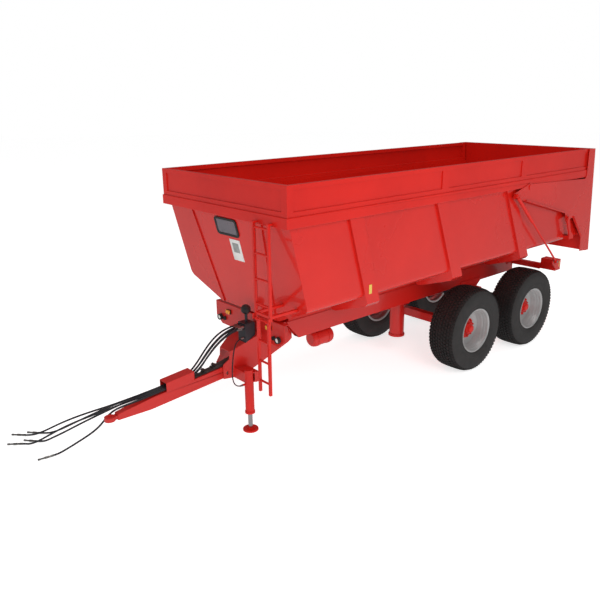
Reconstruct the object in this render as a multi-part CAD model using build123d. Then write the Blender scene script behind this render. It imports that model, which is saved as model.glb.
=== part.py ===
from build123d import *
import os
from math import atan2, cos, degrees, hypot, pi, radians, sin, tan

# Tandem-axle tipping grain trailer. +X points to the tractor, +Y to the left, +Z up.
# The origin is on the ground, half way between the drawbar tip and the rearmost tailgate rib.
# Most places along the trailer are given as a distance behind the front of the body.

# ---- overall sizes
NOSE_REACH = 1575.0             # drawbar tip ahead of the body's front
BODY_LENGTH = 6695.0            # front of the body to the rearmost tailgate rib
BODY_FRONT = (BODY_LENGTH - NOSE_REACH) / 2
BODY_HALF_WIDTH = 1165.0        # outside of the side walls
TOP_HEIGHT = 3052.0             # top of the extension boards
FLOOR_HEIGHT = 1390.0           # underside of the floor sheet
FLOOR_HALF_WIDTH = 575.0        # flat part of the floor
KNEE_HEIGHT = 1650.0            # where the side wall turns in towards the floor
SHEET = 5.0                     # wall and floor sheet
KNEE_RADIUS = 90.0

# ---- top rail and boards
RAIL_BOTTOM = 2611.0
RAIL_HEIGHT = 116.0
RAIL_PROUD = 62.5               # top rail outside the side wall
RAIL_WALL = 5.0
BOARD_INSET = 12.5              # board face inside the rail face
BOARD_DEPTH = 50.0
BOARD_LIP = 52.0                # folded edge round each board's recessed panel
BOARD_DISH = 12.0
BOARD_GAP = 24.0                # board ends clear the tailgate as it swings forward
FRONT_SLOPE = 0.2514            # front wall leans back this much per unit of height
FRONT_SETBACK = 83.0            # front wall behind the rail's front, at the rail's underside
TAIL_SLOPE = 0.105
TAIL_INSIDE = 6370.0            # inside of the tailgate behind the body's front, at the very top
TAIL_DEPTH = 96.0
TAIL_RIB = 32.0                 # cross ribs proud of the tailgate's frame
TAIL_GAP = 3.0
TAIL_BOTTOM = 1362.0

# ---- side ribs: distance of the rib's middle behind the front, at the rail and at the knee
SIDE_RIBS = ((1030.0, 1310.0), (2570.0, 2950.0), (4140.0, 4610.0))
RIB_WIDTH = 215.0
RIB_DEPTH = 30.0
RIB_END = 1560.0
RIB_FOOT_DROP = 70.0

# ---- chassis
CHASSIS_RAIL_MID = 415.0
CHASSIS_RAIL_WIDTH = 90.0
CHASSIS_RAIL_TOP = 1300.0
CHASSIS_RAIL_DEPTH = 250.0
CHASSIS_WALL = 8.0
RAIL_NOSE = 620.0
RAIL_TAIL = 5572.0
REST_GAP = 0.5                  # body rails over chassis rails at rest
HINGE_BACK = 5520.0             # tipping hinge behind the body's front
HINGE_HEIGHT = 1350.0
HINGE_PIN = 50.0
PIN_FIT = 0.08                  # radial clearance of every plain pin
SIDE_GAP = 1.0                  # clearance along a pin, each side

# ---- axles and wheels
AXLE_SPACING = 1512.0
BOGIE_BACK = 4376.0             # bogie pivot behind the body's front
BOGIE_HEIGHT = 945.0
BOGIE_SHAFT = 90.0
SPRING_MID = 560.0
SPRING_WIDTH = 76.0
LEAF = 16.0
LEAF_COUNT = 5
LEAF_RADIUS = 3000.0
AXLE_SQUARE = 120.0
TYRE_RADIUS = 622.0
TYRE_WIDTH = 440.0
TYRE_OUTSIDE = 1160.0
RIM_RADIUS = 328.0              # over the rim flange
RIM_SEAT = 306.0
RIM_WELL = 272.0
DISC_INSET = 205.0              # wheel disc behind the outer rim edge
HUB_RADIUS = 88.0
STUD_CIRCLE = 125.0             # radius of the stud circle
STUD_COUNT = 10
DRUM_RADIUS = 205.0
SPINDLE = 70.0

# ---- drawbar, jack and ladder
DRAWBAR_PIVOT_BACK = -20.0
DRAWBAR_PIVOT_HEIGHT = 705.0
DRAWBAR_HALF_WIDTH = 60.0
DRAWBAR_DEPTH = 148.0
DRAWBAR_DROP = 0.095            # fall per unit of length towards the tractor
EYE_HEIGHT = 583.0
EYE_RADIUS = 60.0
EYE_BORE = 50.0
EYE_THICK = 46.0
NECK_FRONT_HALF = 76.0
NECK_PLATE = 12.0
JACK_BACK = 100.0
JACK_SIDE = 348.0
JACK_BARREL = 55.0
JACK_ROD = 27.5
JACK_FOOT = 95.0
JACK_FOOT_THICK = 24.0
JACK_BOTTOM = 231.0
JACK_TOP = 800.0
LADDER_AHEAD = 48.0
LADDER_LEFT = (735.0, 985.0)
LADDER_TUBE = 30.0
LADDER_JOINT = 1575.0
LADDER_FOOT = 715.0
RUNG_RADIUS = 13.0

# ---- tailgate arms and rams
ARM_PIVOT = (4568.0, 2612.0)    # behind the front, height
ARM_TIP = (4189.0, 2524.0)
ARM_PLATE = 8.0
ARM_GAP = 3.0                   # arm plate clear of the top rail's face
ARM_PIN = 50.0
DOOR_RAM_BARREL = 25.0
DOOR_RAM_ROD = 14.0
DOOR_RAM_BARREL_LENGTH = 640.0
STOP_PEG = (5775.0, 2021.0)
PEG_RADIUS = 22.0
PEG_BOSS = 8.0                  # boss round the peg, proud of the arm plate
PEG_REACH = 32.0                # peg's end outside the arm plate
HATCH_WIDTH = 420.0
HATCH_HEIGHT = 380.0
HATCH_SILL = 1450.0

# ---- tipping ram
RAM_BACK = 3190.0
RAM_TRUNNION = 950.0
RAM_BOTTOM = 360.0
RAM_BARREL_TOP = 1238.0
RAM_RADII = (110.0, 88.0, 68.0, 48.0)
RAM_BALL_HEIGHT = 1322.0
RAM_BALL = 40.0

# ---- hoses
HOSE_RADIUS = 11.0
THIN_HOSE_RADIUS = 7.0
COUPLING_LENGTH = 142.0

RAIL_TOP = RAIL_BOTTOM + RAIL_HEIGHT
RAIL_FACE = BODY_HALF_WIDTH + RAIL_PROUD
RIB_FACE = BODY_HALF_WIDTH + RIB_DEPTH
ARM_INSIDE = RAIL_FACE + ARM_GAP
ARM_OUTSIDE = ARM_INSIDE + ARM_PLATE
DOOR_RAM_SIDE = ARM_OUTSIDE + SIDE_GAP + DOOR_RAM_BARREL
WHEEL_MID = TYRE_OUTSIDE - TYRE_WIDTH / 2
CHASSIS_RAIL_INSIDE = CHASSIS_RAIL_MID - CHASSIS_RAIL_WIDTH / 2
CHASSIS_RAIL_OUTSIDE = CHASSIS_RAIL_MID + CHASSIS_RAIL_WIDTH / 2
CHASSIS_RAIL_BOTTOM = CHASSIS_RAIL_TOP - CHASSIS_RAIL_DEPTH


# ---- small builders
def behind(distance):
    """X of a place that lies this far behind the body's front."""
    return BODY_FRONT - distance


def block(x, y, z):
    """Box between the two X, two Y and two Z values."""
    centre = [(pair[0] + pair[1]) / 2 for pair in (x, y, z)]
    size = [abs(pair[1] - pair[0]) for pair in (x, y, z)]
    return Pos(*centre) * Box(*size)


def prism(points, axis, start, end):
    """Polygon drawn across one axis and pushed along it from start to end."""
    place = {
        "x": lambda a, b: (start, a, b),
        "y": lambda a, b: (a, start, b),
        "z": lambda a, b: (a, b, start),
    }[axis]
    along = {"x": (1, 0, 0), "y": (0, 1, 0), "z": (0, 0, 1)}[axis]
    outline = Polyline(*[place(a, b) for a, b in points], close=True)
    return extrude(make_face(outline), amount=end - start, dir=along)


def side_prism(points, start, end):
    """Side-view outline given as (distance behind the front, height)."""
    return prism([(behind(back), z) for back, z in points], "y", start, end)


def rod(start, end, radius):
    """Round bar between two points."""
    line = Vector(*end) - Vector(*start)
    return Part() + Solid.make_cylinder(radius, line.length, Plane(origin=start, z_dir=line))


def pin_y(back, z, y_start, y_end, radius):
    """Round bar across the trailer."""
    return rod((behind(back), y_start, z), (behind(back), y_end, z), radius)


def box_tube(x, y, z, wall, axis):
    """Rectangular tube, open at both ends of the named axis."""
    outer = block(x, y, z)
    inner = []
    for name, pair in (("x", x), ("y", y), ("z", z)):
        low, high = min(pair), max(pair)
        inner.append((low - 1, high + 1) if name == axis else (low + wall, high - wall))
    return outer - block(*inner)


def both_sides(shape):
    """A left-hand piece and its right-hand mirror image."""
    return [shape, mirror(shape, about=Plane.XZ)]


def save(name, pieces):
    """Write one node as a STEP file of separate solids."""
    pieces = pieces if isinstance(pieces, (list, tuple)) else [pieces]
    solids = [solid for piece in pieces for solid in piece.solids()]
    export_step(Compound(children=solids), f"parts/{name}.step")


# ---- the body's outline
def front_wall_back(z):
    """Outside of the front wall behind the body's front, at a height."""
    return FRONT_SETBACK + FRONT_SLOPE * (RAIL_BOTTOM - z)


def tail_inside_back(z):
    """Inside face of the tailgate behind the body's front, at a height."""
    return TAIL_INSIDE + TAIL_SLOPE * (TOP_HEIGHT - z)


def knee_line(y):
    """Height of the turned-in wall's outside at a distance from the middle."""
    rise = (KNEE_HEIGHT - FLOOR_HEIGHT) / (BODY_HALF_WIDTH - FLOOR_HALF_WIDTH)
    return FLOOR_HEIGHT + rise * (abs(y) - FLOOR_HALF_WIDTH)


def tub_section(inward):
    """Cross-section of the tub, moved in by a wall thickness and open above when inward."""
    lean = atan2(KNEE_HEIGHT - FLOOR_HEIGHT, BODY_HALF_WIDTH - FLOOR_HALF_WIDTH)
    side = BODY_HALF_WIDTH - inward
    floor = FLOOR_HEIGHT + inward
    knee = KNEE_HEIGHT + inward * tan(radians(45) - lean / 2)
    flat = FLOOR_HALF_WIDTH - inward * tan(lean / 2)
    top = RAIL_TOP + (100 if inward else 0)
    half = [(flat, floor), (side, knee), (side, top)]
    points = half + [(-y, z) for y, z in reversed(half)]
    outline = Polyline(*[(0, y, z) for y, z in points], close=True)
    face = make_face(outline)
    knees = [v for v in face.vertices() if abs(v.Z - knee) < 1]
    radius = KNEE_RADIUS - inward
    return face, knees, radius


def tub_prism(inward):
    """The tub's section swept along the trailer and cut off at its ends."""
    face, knees, radius = tub_section(inward)
    long_body = extrude(face, amount=BODY_LENGTH + 400, dir=(-1, 0, 0))
    long_body = Pos(behind(-200), 0, 0) * long_body
    edges = [
        edge
        for edge in long_body.edges().filter_by(Axis.X)
        if any(abs(edge.center().Y - v.Y) < 1 and abs(edge.center().Z - v.Z) < 1 for v in knees)
    ]
    return fillet(edges, radius)


def tub_ends(inward, reach_back):
    """Side-view block between the front wall and the tailgate."""
    low, high = FLOOR_HEIGHT - 200, RAIL_TOP + 200
    wall = inward * hypot(1, FRONT_SLOPE)
    points = [
        (front_wall_back(low) + wall, low),
        (front_wall_back(high) + wall, high),
        (tail_inside_back(high) + reach_back, high),
        (tail_inside_back(low) + reach_back, low),
    ]
    return side_prism(points, -BODY_HALF_WIDTH - 50, BODY_HALF_WIDTH + 50)


def tub_outside():
    return tub_prism(0) & tub_ends(0, -TAIL_GAP)


def tub_shell():
    """Welded sheets of the tub: front wall, floor and, on each side, slope, knee strip and wall."""
    behind_front = tub_ends(SHEET, 100)
    sheets = tub_outside() - (tub_prism(SHEET) & behind_front)
    channel = sheets & behind_front
    lean = atan2(KNEE_HEIGHT - FLOOR_HEIGHT, BODY_HALF_WIDTH - FLOOR_HALF_WIDTH)
    reach = KNEE_RADIUS * tan((pi / 2 - lean) / 2)
    knee_start = BODY_HALF_WIDTH - reach * cos(lean)
    knee_end = KNEE_HEIGHT + reach
    long_x = (behind(-200), behind(BODY_LENGTH + 200))
    outer, low, high = BODY_HALF_WIDTH + 20, FLOOR_HEIGHT - 20, RAIL_TOP + 20
    floor = block(long_x, (-FLOOR_HALF_WIDTH, FLOOR_HALF_WIDTH), (low, high))
    slope = block(long_x, (FLOOR_HALF_WIDTH, knee_start), (low, high))
    knee = block(long_x, (knee_start, outer), (low, knee_end))
    wall = block(long_x, (knee_start, outer), (knee_end, high))
    pieces = [sheets - behind_front, channel & floor]
    for zone in (slope, knee, wall):
        pieces += both_sides(channel & zone)
    return pieces


# ---- body pieces
def body_ribs():
    """Box ribs up the sides, each ending in a foot that turns in below the tub."""
    outside = tub_outside()
    section = [
        (BODY_HALF_WIDTH - 20, RAIL_BOTTOM),
        (RIB_FACE, RAIL_BOTTOM),
        (RIB_FACE, RIB_END),
        (RIB_FACE - 45, RIB_END - 45),
        (FLOOR_HALF_WIDTH + 15, FLOOR_HEIGHT - RIB_FOOT_DROP),
        (CHASSIS_RAIL_OUTSIDE + 60, FLOOR_HEIGHT - RIB_FOOT_DROP),
        (CHASSIS_RAIL_OUTSIDE + 60, FLOOR_HEIGHT + 40),
        (FLOOR_HALF_WIDTH + 60, KNEE_HEIGHT),
    ]
    ribs = []
    for top_back, knee_back in SIDE_RIBS:
        lean = (knee_back - top_back) / (RAIL_BOTTOM - KNEE_HEIGHT)
        low = FLOOR_HEIGHT - RIB_FOOT_DROP - 10
        low_back = top_back + lean * (RAIL_BOTTOM - low)
        half = RIB_WIDTH / 2
        window = side_prism(
            [
                (top_back - half, RAIL_BOTTOM),
                (top_back + half, RAIL_BOTTOM),
                (low_back + half, low),
                (low_back - half, low),
            ],
            0,
            RIB_FACE + 10,
        )
        long_rib = prism(section, "x", behind(low_back + 400), behind(top_back - 400))
        rib = (long_rib & window) - outside
        ribs += both_sides(rib)
    return ribs


def front_ribs():
    """Two folded ribs down the front wall, closing in towards the floor."""
    low = FLOOR_HEIGHT + 4
    slant = hypot(1, FRONT_SLOPE)
    ribs = []
    outline = [(705, RAIL_BOTTOM), (665, RAIL_BOTTOM), (500, low), (540, low)]
    tall = prism(outline, "x", behind(600), behind(-50))
    skin = side_prism(
        [
            (front_wall_back(low), low),
            (front_wall_back(low) - 16 * slant, low),
            (front_wall_back(RAIL_BOTTOM) - 16 * slant, RAIL_BOTTOM),
            (front_wall_back(RAIL_BOTTOM), RAIL_BOTTOM),
        ],
        400,
        800,
    )
    ribs += both_sides(tall & skin)
    return ribs


def pivot_boss():
    """Boss under the top rail with the pin that the left tailgate arm swings on."""
    back, z = ARM_PIVOT
    boss = pin_y(back, z, BODY_HALF_WIDTH, ARM_INSIDE - SIDE_GAP, 52)
    pin = pin_y(back, z, BODY_HALF_WIDTH, ARM_OUTSIDE + SIDE_GAP + 10, ARM_PIN / 2)
    head = pin_y(back, z, ARM_OUTSIDE + SIDE_GAP, ARM_OUTSIDE + SIDE_GAP + 10, ARM_PIN / 2 + 13)
    return boss + pin + head


def top_rail():
    """Box rail round the front and the sides of the tub's rim."""
    tail = tail_inside_back(RAIL_BOTTOM) - TAIL_GAP
    outer = block((behind(0), behind(tail)), (-RAIL_FACE, RAIL_FACE), (RAIL_BOTTOM, RAIL_TOP))
    hollow = block(
        (behind(RAIL_WALL), behind(tail + 10)),
        (-RAIL_FACE + RAIL_WALL, RAIL_FACE - RAIL_WALL),
        (RAIL_BOTTOM + RAIL_WALL, RAIL_TOP - RAIL_WALL),
    )
    rail = outer - (hollow - tub_envelope(RAIL_WALL))
    rail -= tub_envelope(0)
    rail -= tail_cut(0)
    back, z = ARM_PIVOT
    for side in (1, -1):
        rail -= pin_y(back, z, side * (BODY_HALF_WIDTH - 5), side * (RAIL_FACE + 5), 52)
    return rail


def tub_envelope(outward):
    """Everything the tub's rim fills, grown outwards by a wall."""
    wall = outward * hypot(1, FRONT_SLOPE)
    low, high = RAIL_BOTTOM - 50, RAIL_TOP + 50
    return side_prism(
        [
            (front_wall_back(low) - wall, low),
            (front_wall_back(high) - wall, high),
            (BODY_LENGTH + 100, high),
            (BODY_LENGTH + 100, low),
        ],
        -BODY_HALF_WIDTH - outward,
        BODY_HALF_WIDTH + outward,
    )


def tail_cut(extra):
    """Space of the closed tailgate and everything behind it."""
    low, high = FLOOR_HEIGHT - 200, TOP_HEIGHT + 200
    return side_prism(
        [
            (tail_inside_back(low) - TAIL_GAP - extra, low),
            (tail_inside_back(high) - TAIL_GAP - extra, high),
            (BODY_LENGTH + 600, high),
            (BODY_LENGTH + 600, low),
        ],
        -RAIL_FACE - 50,
        RAIL_FACE + 50,
    )


def board_recess(length_start, length_end, outer_face, across):
    """Shallow panel recess in a board's outer face."""
    z = (RAIL_TOP + BOARD_LIP, TOP_HEIGHT - BOARD_LIP)
    inner_face = outer_face - BOARD_DISH * (1 if outer_face > 0 else -1)
    if across:
        return block((outer_face, inner_face), (length_start, length_end), z)
    return block((length_start, length_end), (outer_face, inner_face), z)


def side_board():
    """Left extension board: a folded frame with recessed panels between its posts."""
    face = RAIL_FACE - BOARD_INSET
    tail = tail_inside_back(RAIL_TOP) + 60
    board = block((behind(BOARD_INSET), behind(tail)), (face - BOARD_DEPTH, face), (RAIL_TOP, TOP_HEIGHT))
    board -= tail_cut(BOARD_GAP)
    posts = (BOARD_INSET, 2570.0, 4390.0, tail_inside_back(TOP_HEIGHT) - BOARD_GAP)
    for start, end in zip(posts[:-1], posts[1:]):
        board -= board_recess(behind(start + BOARD_LIP + 30), behind(end - BOARD_LIP), face, False)
    inner_z = (RAIL_TOP + BOARD_LIP, TOP_HEIGHT - BOARD_LIP)
    hollow_start, hollow_end = behind(BOARD_INSET + 70), behind(TAIL_INSIDE - 90)
    inside = face - BOARD_DEPTH
    board -= block((hollow_start, hollow_end), (inside - 1, face - BOARD_DISH - SHEET), inner_z)
    return board


def front_board():
    face = behind(BOARD_INSET)
    half = RAIL_FACE - BOARD_INSET - BOARD_DEPTH
    board = block((face, face - BOARD_DEPTH), (-half, half), (RAIL_TOP, TOP_HEIGHT))
    board -= board_recess(-half + 40, half - 40, face, True)
    z = (RAIL_TOP + BOARD_LIP, TOP_HEIGHT - BOARD_LIP)
    x = (face - BOARD_DEPTH - 1, face - BOARD_DISH - SHEET)
    return board - block(x, (-half + 40, half - 40), z)


def body_subframe():
    """Two long rails under the floor with cross ties, hinge lugs and the ram's cup."""
    half = CHASSIS_RAIL_WIDTH / 2 - 8
    inner, outer = CHASSIS_RAIL_MID - half, CHASSIS_RAIL_MID + half
    bottom = CHASSIS_RAIL_TOP + REST_GAP
    rail = box_tube((behind(640), behind(HINGE_BACK)), (inner, outer), (bottom, FLOOR_HEIGHT), 8, "x")
    lug = pin_y(HINGE_BACK, HINGE_HEIGHT, inner, outer, FLOOR_HEIGHT - HINGE_HEIGHT)
    rail += lug
    rail -= pin_y(HINGE_BACK, HINGE_HEIGHT, inner - 1, outer + 1, HINGE_PIN / 2 + PIN_FIT)
    frame = both_sides(rail)
    for back in (900, 1700, 2500, 3900, 4700):
        tie = box_tube((behind(back), behind(back + 80)), (-inner, inner), (bottom + 15, FLOOR_HEIGHT), 6, "y")
        frame.append(tie)
    cup_wall = block((behind(RAM_BACK - 70), behind(RAM_BACK + 70)), (52, 64), (1318, FLOOR_HEIGHT))
    frame += both_sides(cup_wall)
    pad = block((behind(RAM_BACK - 90), behind(RAM_BACK + 90)), (-52, 52), (FLOOR_HEIGHT - 14, FLOOR_HEIGHT))
    frame.append(pad)
    return frame


def stop_horns():
    """Curved horns low on the body that carry the tailgate's pegs when it is shut."""
    back, z = STOP_PEG
    foot_back, foot_z = back + 150, 1690.0
    inner, outer = ARM_OUTSIDE + PEG_BOSS + 2, ARM_OUTSIDE + PEG_REACH - 2
    blade = side_prism(
        [
            (back - 38, z - 4),
            (back - 30, z - 70),
            (foot_back - 75, foot_z + 60),
            (foot_back - 75, foot_z - 30),
            (foot_back + 60, foot_z - 30),
            (foot_back + 60, foot_z + 20),
            (foot_back - 30, foot_z + 90),
            (back + 45, z - 60),
            (back + 36, z - 22),
        ],
        inner,
        outer,
    )
    blade -= pin_y(back, z, inner - 1, outer + 1, PEG_RADIUS + 2)
    mount = block(
        (behind(foot_back - 75), behind(foot_back + 60)),
        (BODY_HALF_WIDTH, inner + 1),
        (foot_z - 30, foot_z + 20),
    )
    return both_sides(blade + mount)


def front_window():
    """Rubber-framed grain window high on the front wall."""
    half_width, half_height, centre_z = 215.0, 110.0, 2465.0
    back = front_wall_back(centre_z)
    tilt = degrees(atan2(FRONT_SLOPE, 1))
    frame = Box(14, 2 * half_width, 2 * half_height)
    frame = fillet(frame.edges().filter_by(Axis.X), 45)
    pane = Box(14, 2 * half_width - 50, 2 * half_height - 50)
    pane = fillet(pane.edges().filter_by(Axis.X), 24)
    glass = Box(6, 2 * half_width - 50, 2 * half_height - 50)
    glass = fillet(glass.edges().filter_by(Axis.X), 24)
    place = Pos(behind(back), 0, centre_z) * Rot(0, tilt, 0) * Pos(7, 0, 0)
    return place * (frame - pane), place * Pos(-2, 0, 0) * glass


# ---- tailgate
def tailgate_panel():
    """Sheet, box frame and cross ribs of the tailgate, with the grain hatch's hole."""
    top, bottom = TOP_HEIGHT, TAIL_BOTTOM
    half = ARM_INSIDE
    panel = door_layer(0, TAIL_DEPTH, bottom, top, -half, half)
    hollow = door_layer(SHEET, TAIL_DEPTH + 1, bottom + 70, top - 70, -half + 80, half - 80)
    panel -= hollow
    for middle in (-620, -290, 290, 620):
        panel += door_layer(SHEET - 1, TAIL_DEPTH, bottom + 60, top - 60, middle - 35, middle + 35)
    rear = TAIL_DEPTH + TAIL_RIB
    for low, high in ((2625, 2735), (2085, 2180), (1862, 1930)):
        panel += door_layer(SHEET - 1, rear, low, high, -half + 10, half - 10)
    guide_side = HATCH_WIDTH / 2 + 60
    for y_start, y_end in ((-half + 10, -guide_side), (guide_side, half - 10)):
        panel += door_layer(SHEET - 1, rear, 1480, 1570, y_start, y_end)
    panel += door_layer(SHEET - 1, TAIL_DEPTH + 12, 1362, 1440, -half + 10, half - 10)
    chute_y = HATCH_WIDTH / 2 + 12
    chute_z = (HATCH_SILL - 12, HATCH_SILL + HATCH_HEIGHT + 12)
    panel += door_layer(SHEET - 1, rear, *chute_z, -chute_y, chute_y)
    hole = door_layer(-5, TAIL_DEPTH + 60, HATCH_SILL, HATCH_SILL + HATCH_HEIGHT, -HATCH_WIDTH / 2, HATCH_WIDTH / 2)
    return panel - hole


def door_layer(front, back, low, high, y_start, y_end):
    """A slab parallel to the tailgate between two depths behind its inside face."""
    return side_prism(
        [
            (tail_inside_back(low) + front, low),
            (tail_inside_back(high) + front, high),
            (tail_inside_back(high) + back, high),
            (tail_inside_back(low) + back, low),
        ],
        y_start,
        y_end,
    )


def hatch_guides():
    """Two channels on the tailgate that the hatch plate slides in."""
    edge = HATCH_WIDTH / 2 + 30
    low, high = HATCH_SILL - 5, HATCH_SILL + 2 * HATCH_HEIGHT + 30
    back = TAIL_DEPTH + TAIL_RIB
    guide = door_layer(back, back + 26, low, high, edge - 22, edge + 18)
    slot = door_layer(back - 1, back + 9, low - 10, high + 10, edge - 30, edge + 4)
    return both_sides(guide - slot)


def grain_hatch():
    """Sliding plate over the grain outlet with its lift handle."""
    edge = HATCH_WIDTH / 2 + 30
    back = TAIL_DEPTH + TAIL_RIB
    low, high = HATCH_SILL - 2, HATCH_SILL + HATCH_HEIGHT + 20
    plate = door_layer(back + 1, back + 7, low, high, -edge + 1, edge - 1)
    fold = door_layer(back + 6, back + 24, high - 8, high, -150, 150)
    grip = door_layer(back + 6, back + 34, low + 60, low + 72, -70, -58)
    grip += door_layer(back + 6, back + 34, low + 60, low + 72, 58, 70)
    grip += door_layer(back + 22, back + 34, low + 60, low + 72, -70, 70)
    return plate + fold + grip


def tailgate_arm():
    """Left arm: plate from the ram's pin past the pivot to the tailgate's edge."""
    rear = [(tail_inside_back(z) + TAIL_DEPTH, z) for z in (TOP_HEIGHT, TAIL_BOTTOM)]
    outline = [
        (ARM_TIP[0] - 40, ARM_TIP[1] + 6),
        (ARM_TIP[0] - 12, ARM_TIP[1] + 40),
        (ARM_PIVOT[0] - 90, ARM_PIVOT[1] + 30),
        (ARM_PIVOT[0] - 20, ARM_PIVOT[1] + 52),
        (ARM_PIVOT[0] + 60, ARM_PIVOT[1] + 40),
        (6240, 2590),
        (6278, 2640),
        (6276, TOP_HEIGHT),
        rear[0],
        rear[1],
        (6335, TAIL_BOTTOM + 25),
        (6318, 1627),
        (5960, 2000),
        (5820, 1975),
        (5735, 1985),
        (5700, 2094),
        (4444, 2426),
        (ARM_TIP[0] + 6, ARM_TIP[1] - 42),
        (ARM_TIP[0] - 34, ARM_TIP[1] - 26),
    ]
    plate = side_prism(outline, ARM_INSIDE, ARM_OUTSIDE)
    plate += pin_y(*ARM_TIP, ARM_INSIDE, ARM_OUTSIDE, 44)
    plate += pin_y(*STOP_PEG, ARM_INSIDE, ARM_OUTSIDE + PEG_BOSS, 46)
    plate += pin_y(*ARM_PIVOT, ARM_INSIDE, ARM_OUTSIDE, 56)
    plate += pin_y(*STOP_PEG, ARM_OUTSIDE, ARM_OUTSIDE + PEG_REACH, PEG_RADIUS)
    edge = ((4460, 2426), (5700, 2098), (5700, 2112), (4464, 2440))
    plate += side_prism(edge, ARM_OUTSIDE - 1, ARM_OUTSIDE + 22)
    lower = ((5975, 2003), (6318, 1636), (6328, 1646), (5985, 2014))
    plate += side_prism(lower, ARM_OUTSIDE - 1, ARM_OUTSIDE + 22)
    plate -= pin_y(*ARM_PIVOT, ARM_INSIDE - 1, ARM_OUTSIDE + 1, ARM_PIN / 2 + PIN_FIT)
    return plate


def door_ram():
    """Left tailgate ram: barrel hung from the arm's tip, rod down to the tipping hinge's line."""
    top = (behind(ARM_TIP[0]), DOOR_RAM_SIDE, ARM_TIP[1])
    foot = (behind(HINGE_BACK), DOOR_RAM_SIDE, HINGE_HEIGHT)
    line = (Vector(*foot) - Vector(*top)).normalized()

    def at(distance):
        return tuple(Vector(*top) + line * distance)

    eye_half = 18.0
    bore_end = DOOR_RAM_BARREL_LENGTH
    barrel = rod(at(40), at(bore_end), DOOR_RAM_BARREL)
    barrel += rod(at(20), at(45), 17)
    barrel -= rod(at(60), at(bore_end + 1), DOOR_RAM_ROD + PIN_FIT)
    side = DOOR_RAM_SIDE
    barrel += pin_y(*ARM_TIP, side - eye_half, side + eye_half, 30)
    barrel += pin_y(*ARM_TIP, ARM_OUTSIDE + SIDE_GAP, side + eye_half + 6, 15)
    length = (Vector(*foot) - Vector(*top)).length
    shaft = rod(at(bore_end - 40), at(length - 20), DOOR_RAM_ROD)
    eye = pin_y(HINGE_BACK, HINGE_HEIGHT, side - eye_half, side + eye_half, 32)
    shaft = (shaft + eye) - pin_y(HINGE_BACK, HINGE_HEIGHT, side - 40, side + 40, 17 + PIN_FIT)
    return barrel, shaft


# ---- chassis
def chassis_rails():
    nose = side_prism(
        [
            (RAIL_NOSE, CHASSIS_RAIL_TOP + 20),
            (RAIL_NOSE, CHASSIS_RAIL_TOP - 40),
            (RAIL_NOSE + 200, CHASSIS_RAIL_BOTTOM - 20),
            (RAIL_NOSE - 200, CHASSIS_RAIL_BOTTOM - 20),
            (RAIL_NOSE - 200, CHASSIS_RAIL_TOP + 20),
        ],
        CHASSIS_RAIL_INSIDE - 10,
        CHASSIS_RAIL_OUTSIDE + 10,
    )
    rail = box_tube(
        (behind(RAIL_NOSE), behind(RAIL_TAIL)),
        (CHASSIS_RAIL_INSIDE, CHASSIS_RAIL_OUTSIDE),
        (CHASSIS_RAIL_BOTTOM, CHASSIS_RAIL_TOP),
        CHASSIS_WALL,
        "x",
    )
    return both_sides(rail - nose)


def cross_members():
    """Ties between the chassis rails, with the cradle of the tipping ram."""
    inside = CHASSIS_RAIL_INSIDE
    members = []
    for back in (900, 1900, RAM_BACK - 230, RAM_BACK + 270, 4340, 5200):
        x = (behind(back), behind(back + 70))
        members.append(box_tube(x, (-inside, inside), (1110, 1240), 8, "y"))
    cheek_y = (RAM_RADII[0] + 45, RAM_RADII[0] + 65)
    cheek = side_prism(
        [
            (RAM_BACK - 160, 1240),
            (RAM_BACK - 160, 1080),
            (RAM_BACK - 60, RAM_TRUNNION - 60),
            (RAM_BACK + 60, RAM_TRUNNION - 60),
            (RAM_BACK + 270, 1080),
            (RAM_BACK + 270, 1240),
        ],
        *cheek_y,
    )
    cheek -= pin_y(RAM_BACK, RAM_TRUNNION, cheek_y[0] - 5, cheek_y[1] + 5, 35 + PIN_FIT)
    return members + both_sides(cheek)


def lamp_beam():
    """Rear beam with lamp boxes at its ends and the ears that hold the tailgate rams."""
    beam = box_tube((behind(5572), behind(5645)), (-960, 960), (1165, 1255), 8, "y")
    for side in (1, -1):
        box_y = (side * 950, side * 1205)
        end_box = block((behind(5625), behind(5790)), box_y, (1165, 1338))
        end_box -= block((behind(5633), behind(5782)), (side * 958, side * 1197), (1150, 1330))
        ear = side_prism(
            [
                (HINGE_BACK - 38, HINGE_HEIGHT + 12),
                (HINGE_BACK - 12, HINGE_HEIGHT + 38),
                (HINGE_BACK + 30, HINGE_HEIGHT + 34),
                (5700, 1338),
                (5700, 1200),
                (5625, 1200),
                (HINGE_BACK - 30, HINGE_HEIGHT - 32),
            ],
            side * 1205,
            side * 1225,
        )
        ear -= pin_y(HINGE_BACK, HINGE_HEIGHT, side * 1200, side * 1230, 17)
        beam += end_box + ear
    hanger = block((behind(5572), behind(5600)), (CHASSIS_RAIL_INSIDE, CHASSIS_RAIL_OUTSIDE), (1060, 1180))
    for piece in both_sides(hanger):
        beam += piece
    return beam


def hinge_ears():
    """Plates on the chassis rails' tails that hold the tipping hinge pins."""
    outline = [
        (HINGE_BACK - 110, CHASSIS_RAIL_TOP - 120),
        (HINGE_BACK - 42, HINGE_HEIGHT + 16),
        (HINGE_BACK - 16, HINGE_HEIGHT + 36),
        (HINGE_BACK + 16, HINGE_HEIGHT + 36),
        (HINGE_BACK + 42, HINGE_HEIGHT + 10),
        (HINGE_BACK + 42, CHASSIS_RAIL_TOP - 120),
    ]
    ears = []
    for inner in (CHASSIS_RAIL_INSIDE - 16, CHASSIS_RAIL_OUTSIDE):
        ear = side_prism(outline, inner, inner + 16)
        ear -= pin_y(HINGE_BACK, HINGE_HEIGHT, inner - 5, inner + 25, HINGE_PIN / 2)
        ears += both_sides(ear)
    return ears


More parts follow.
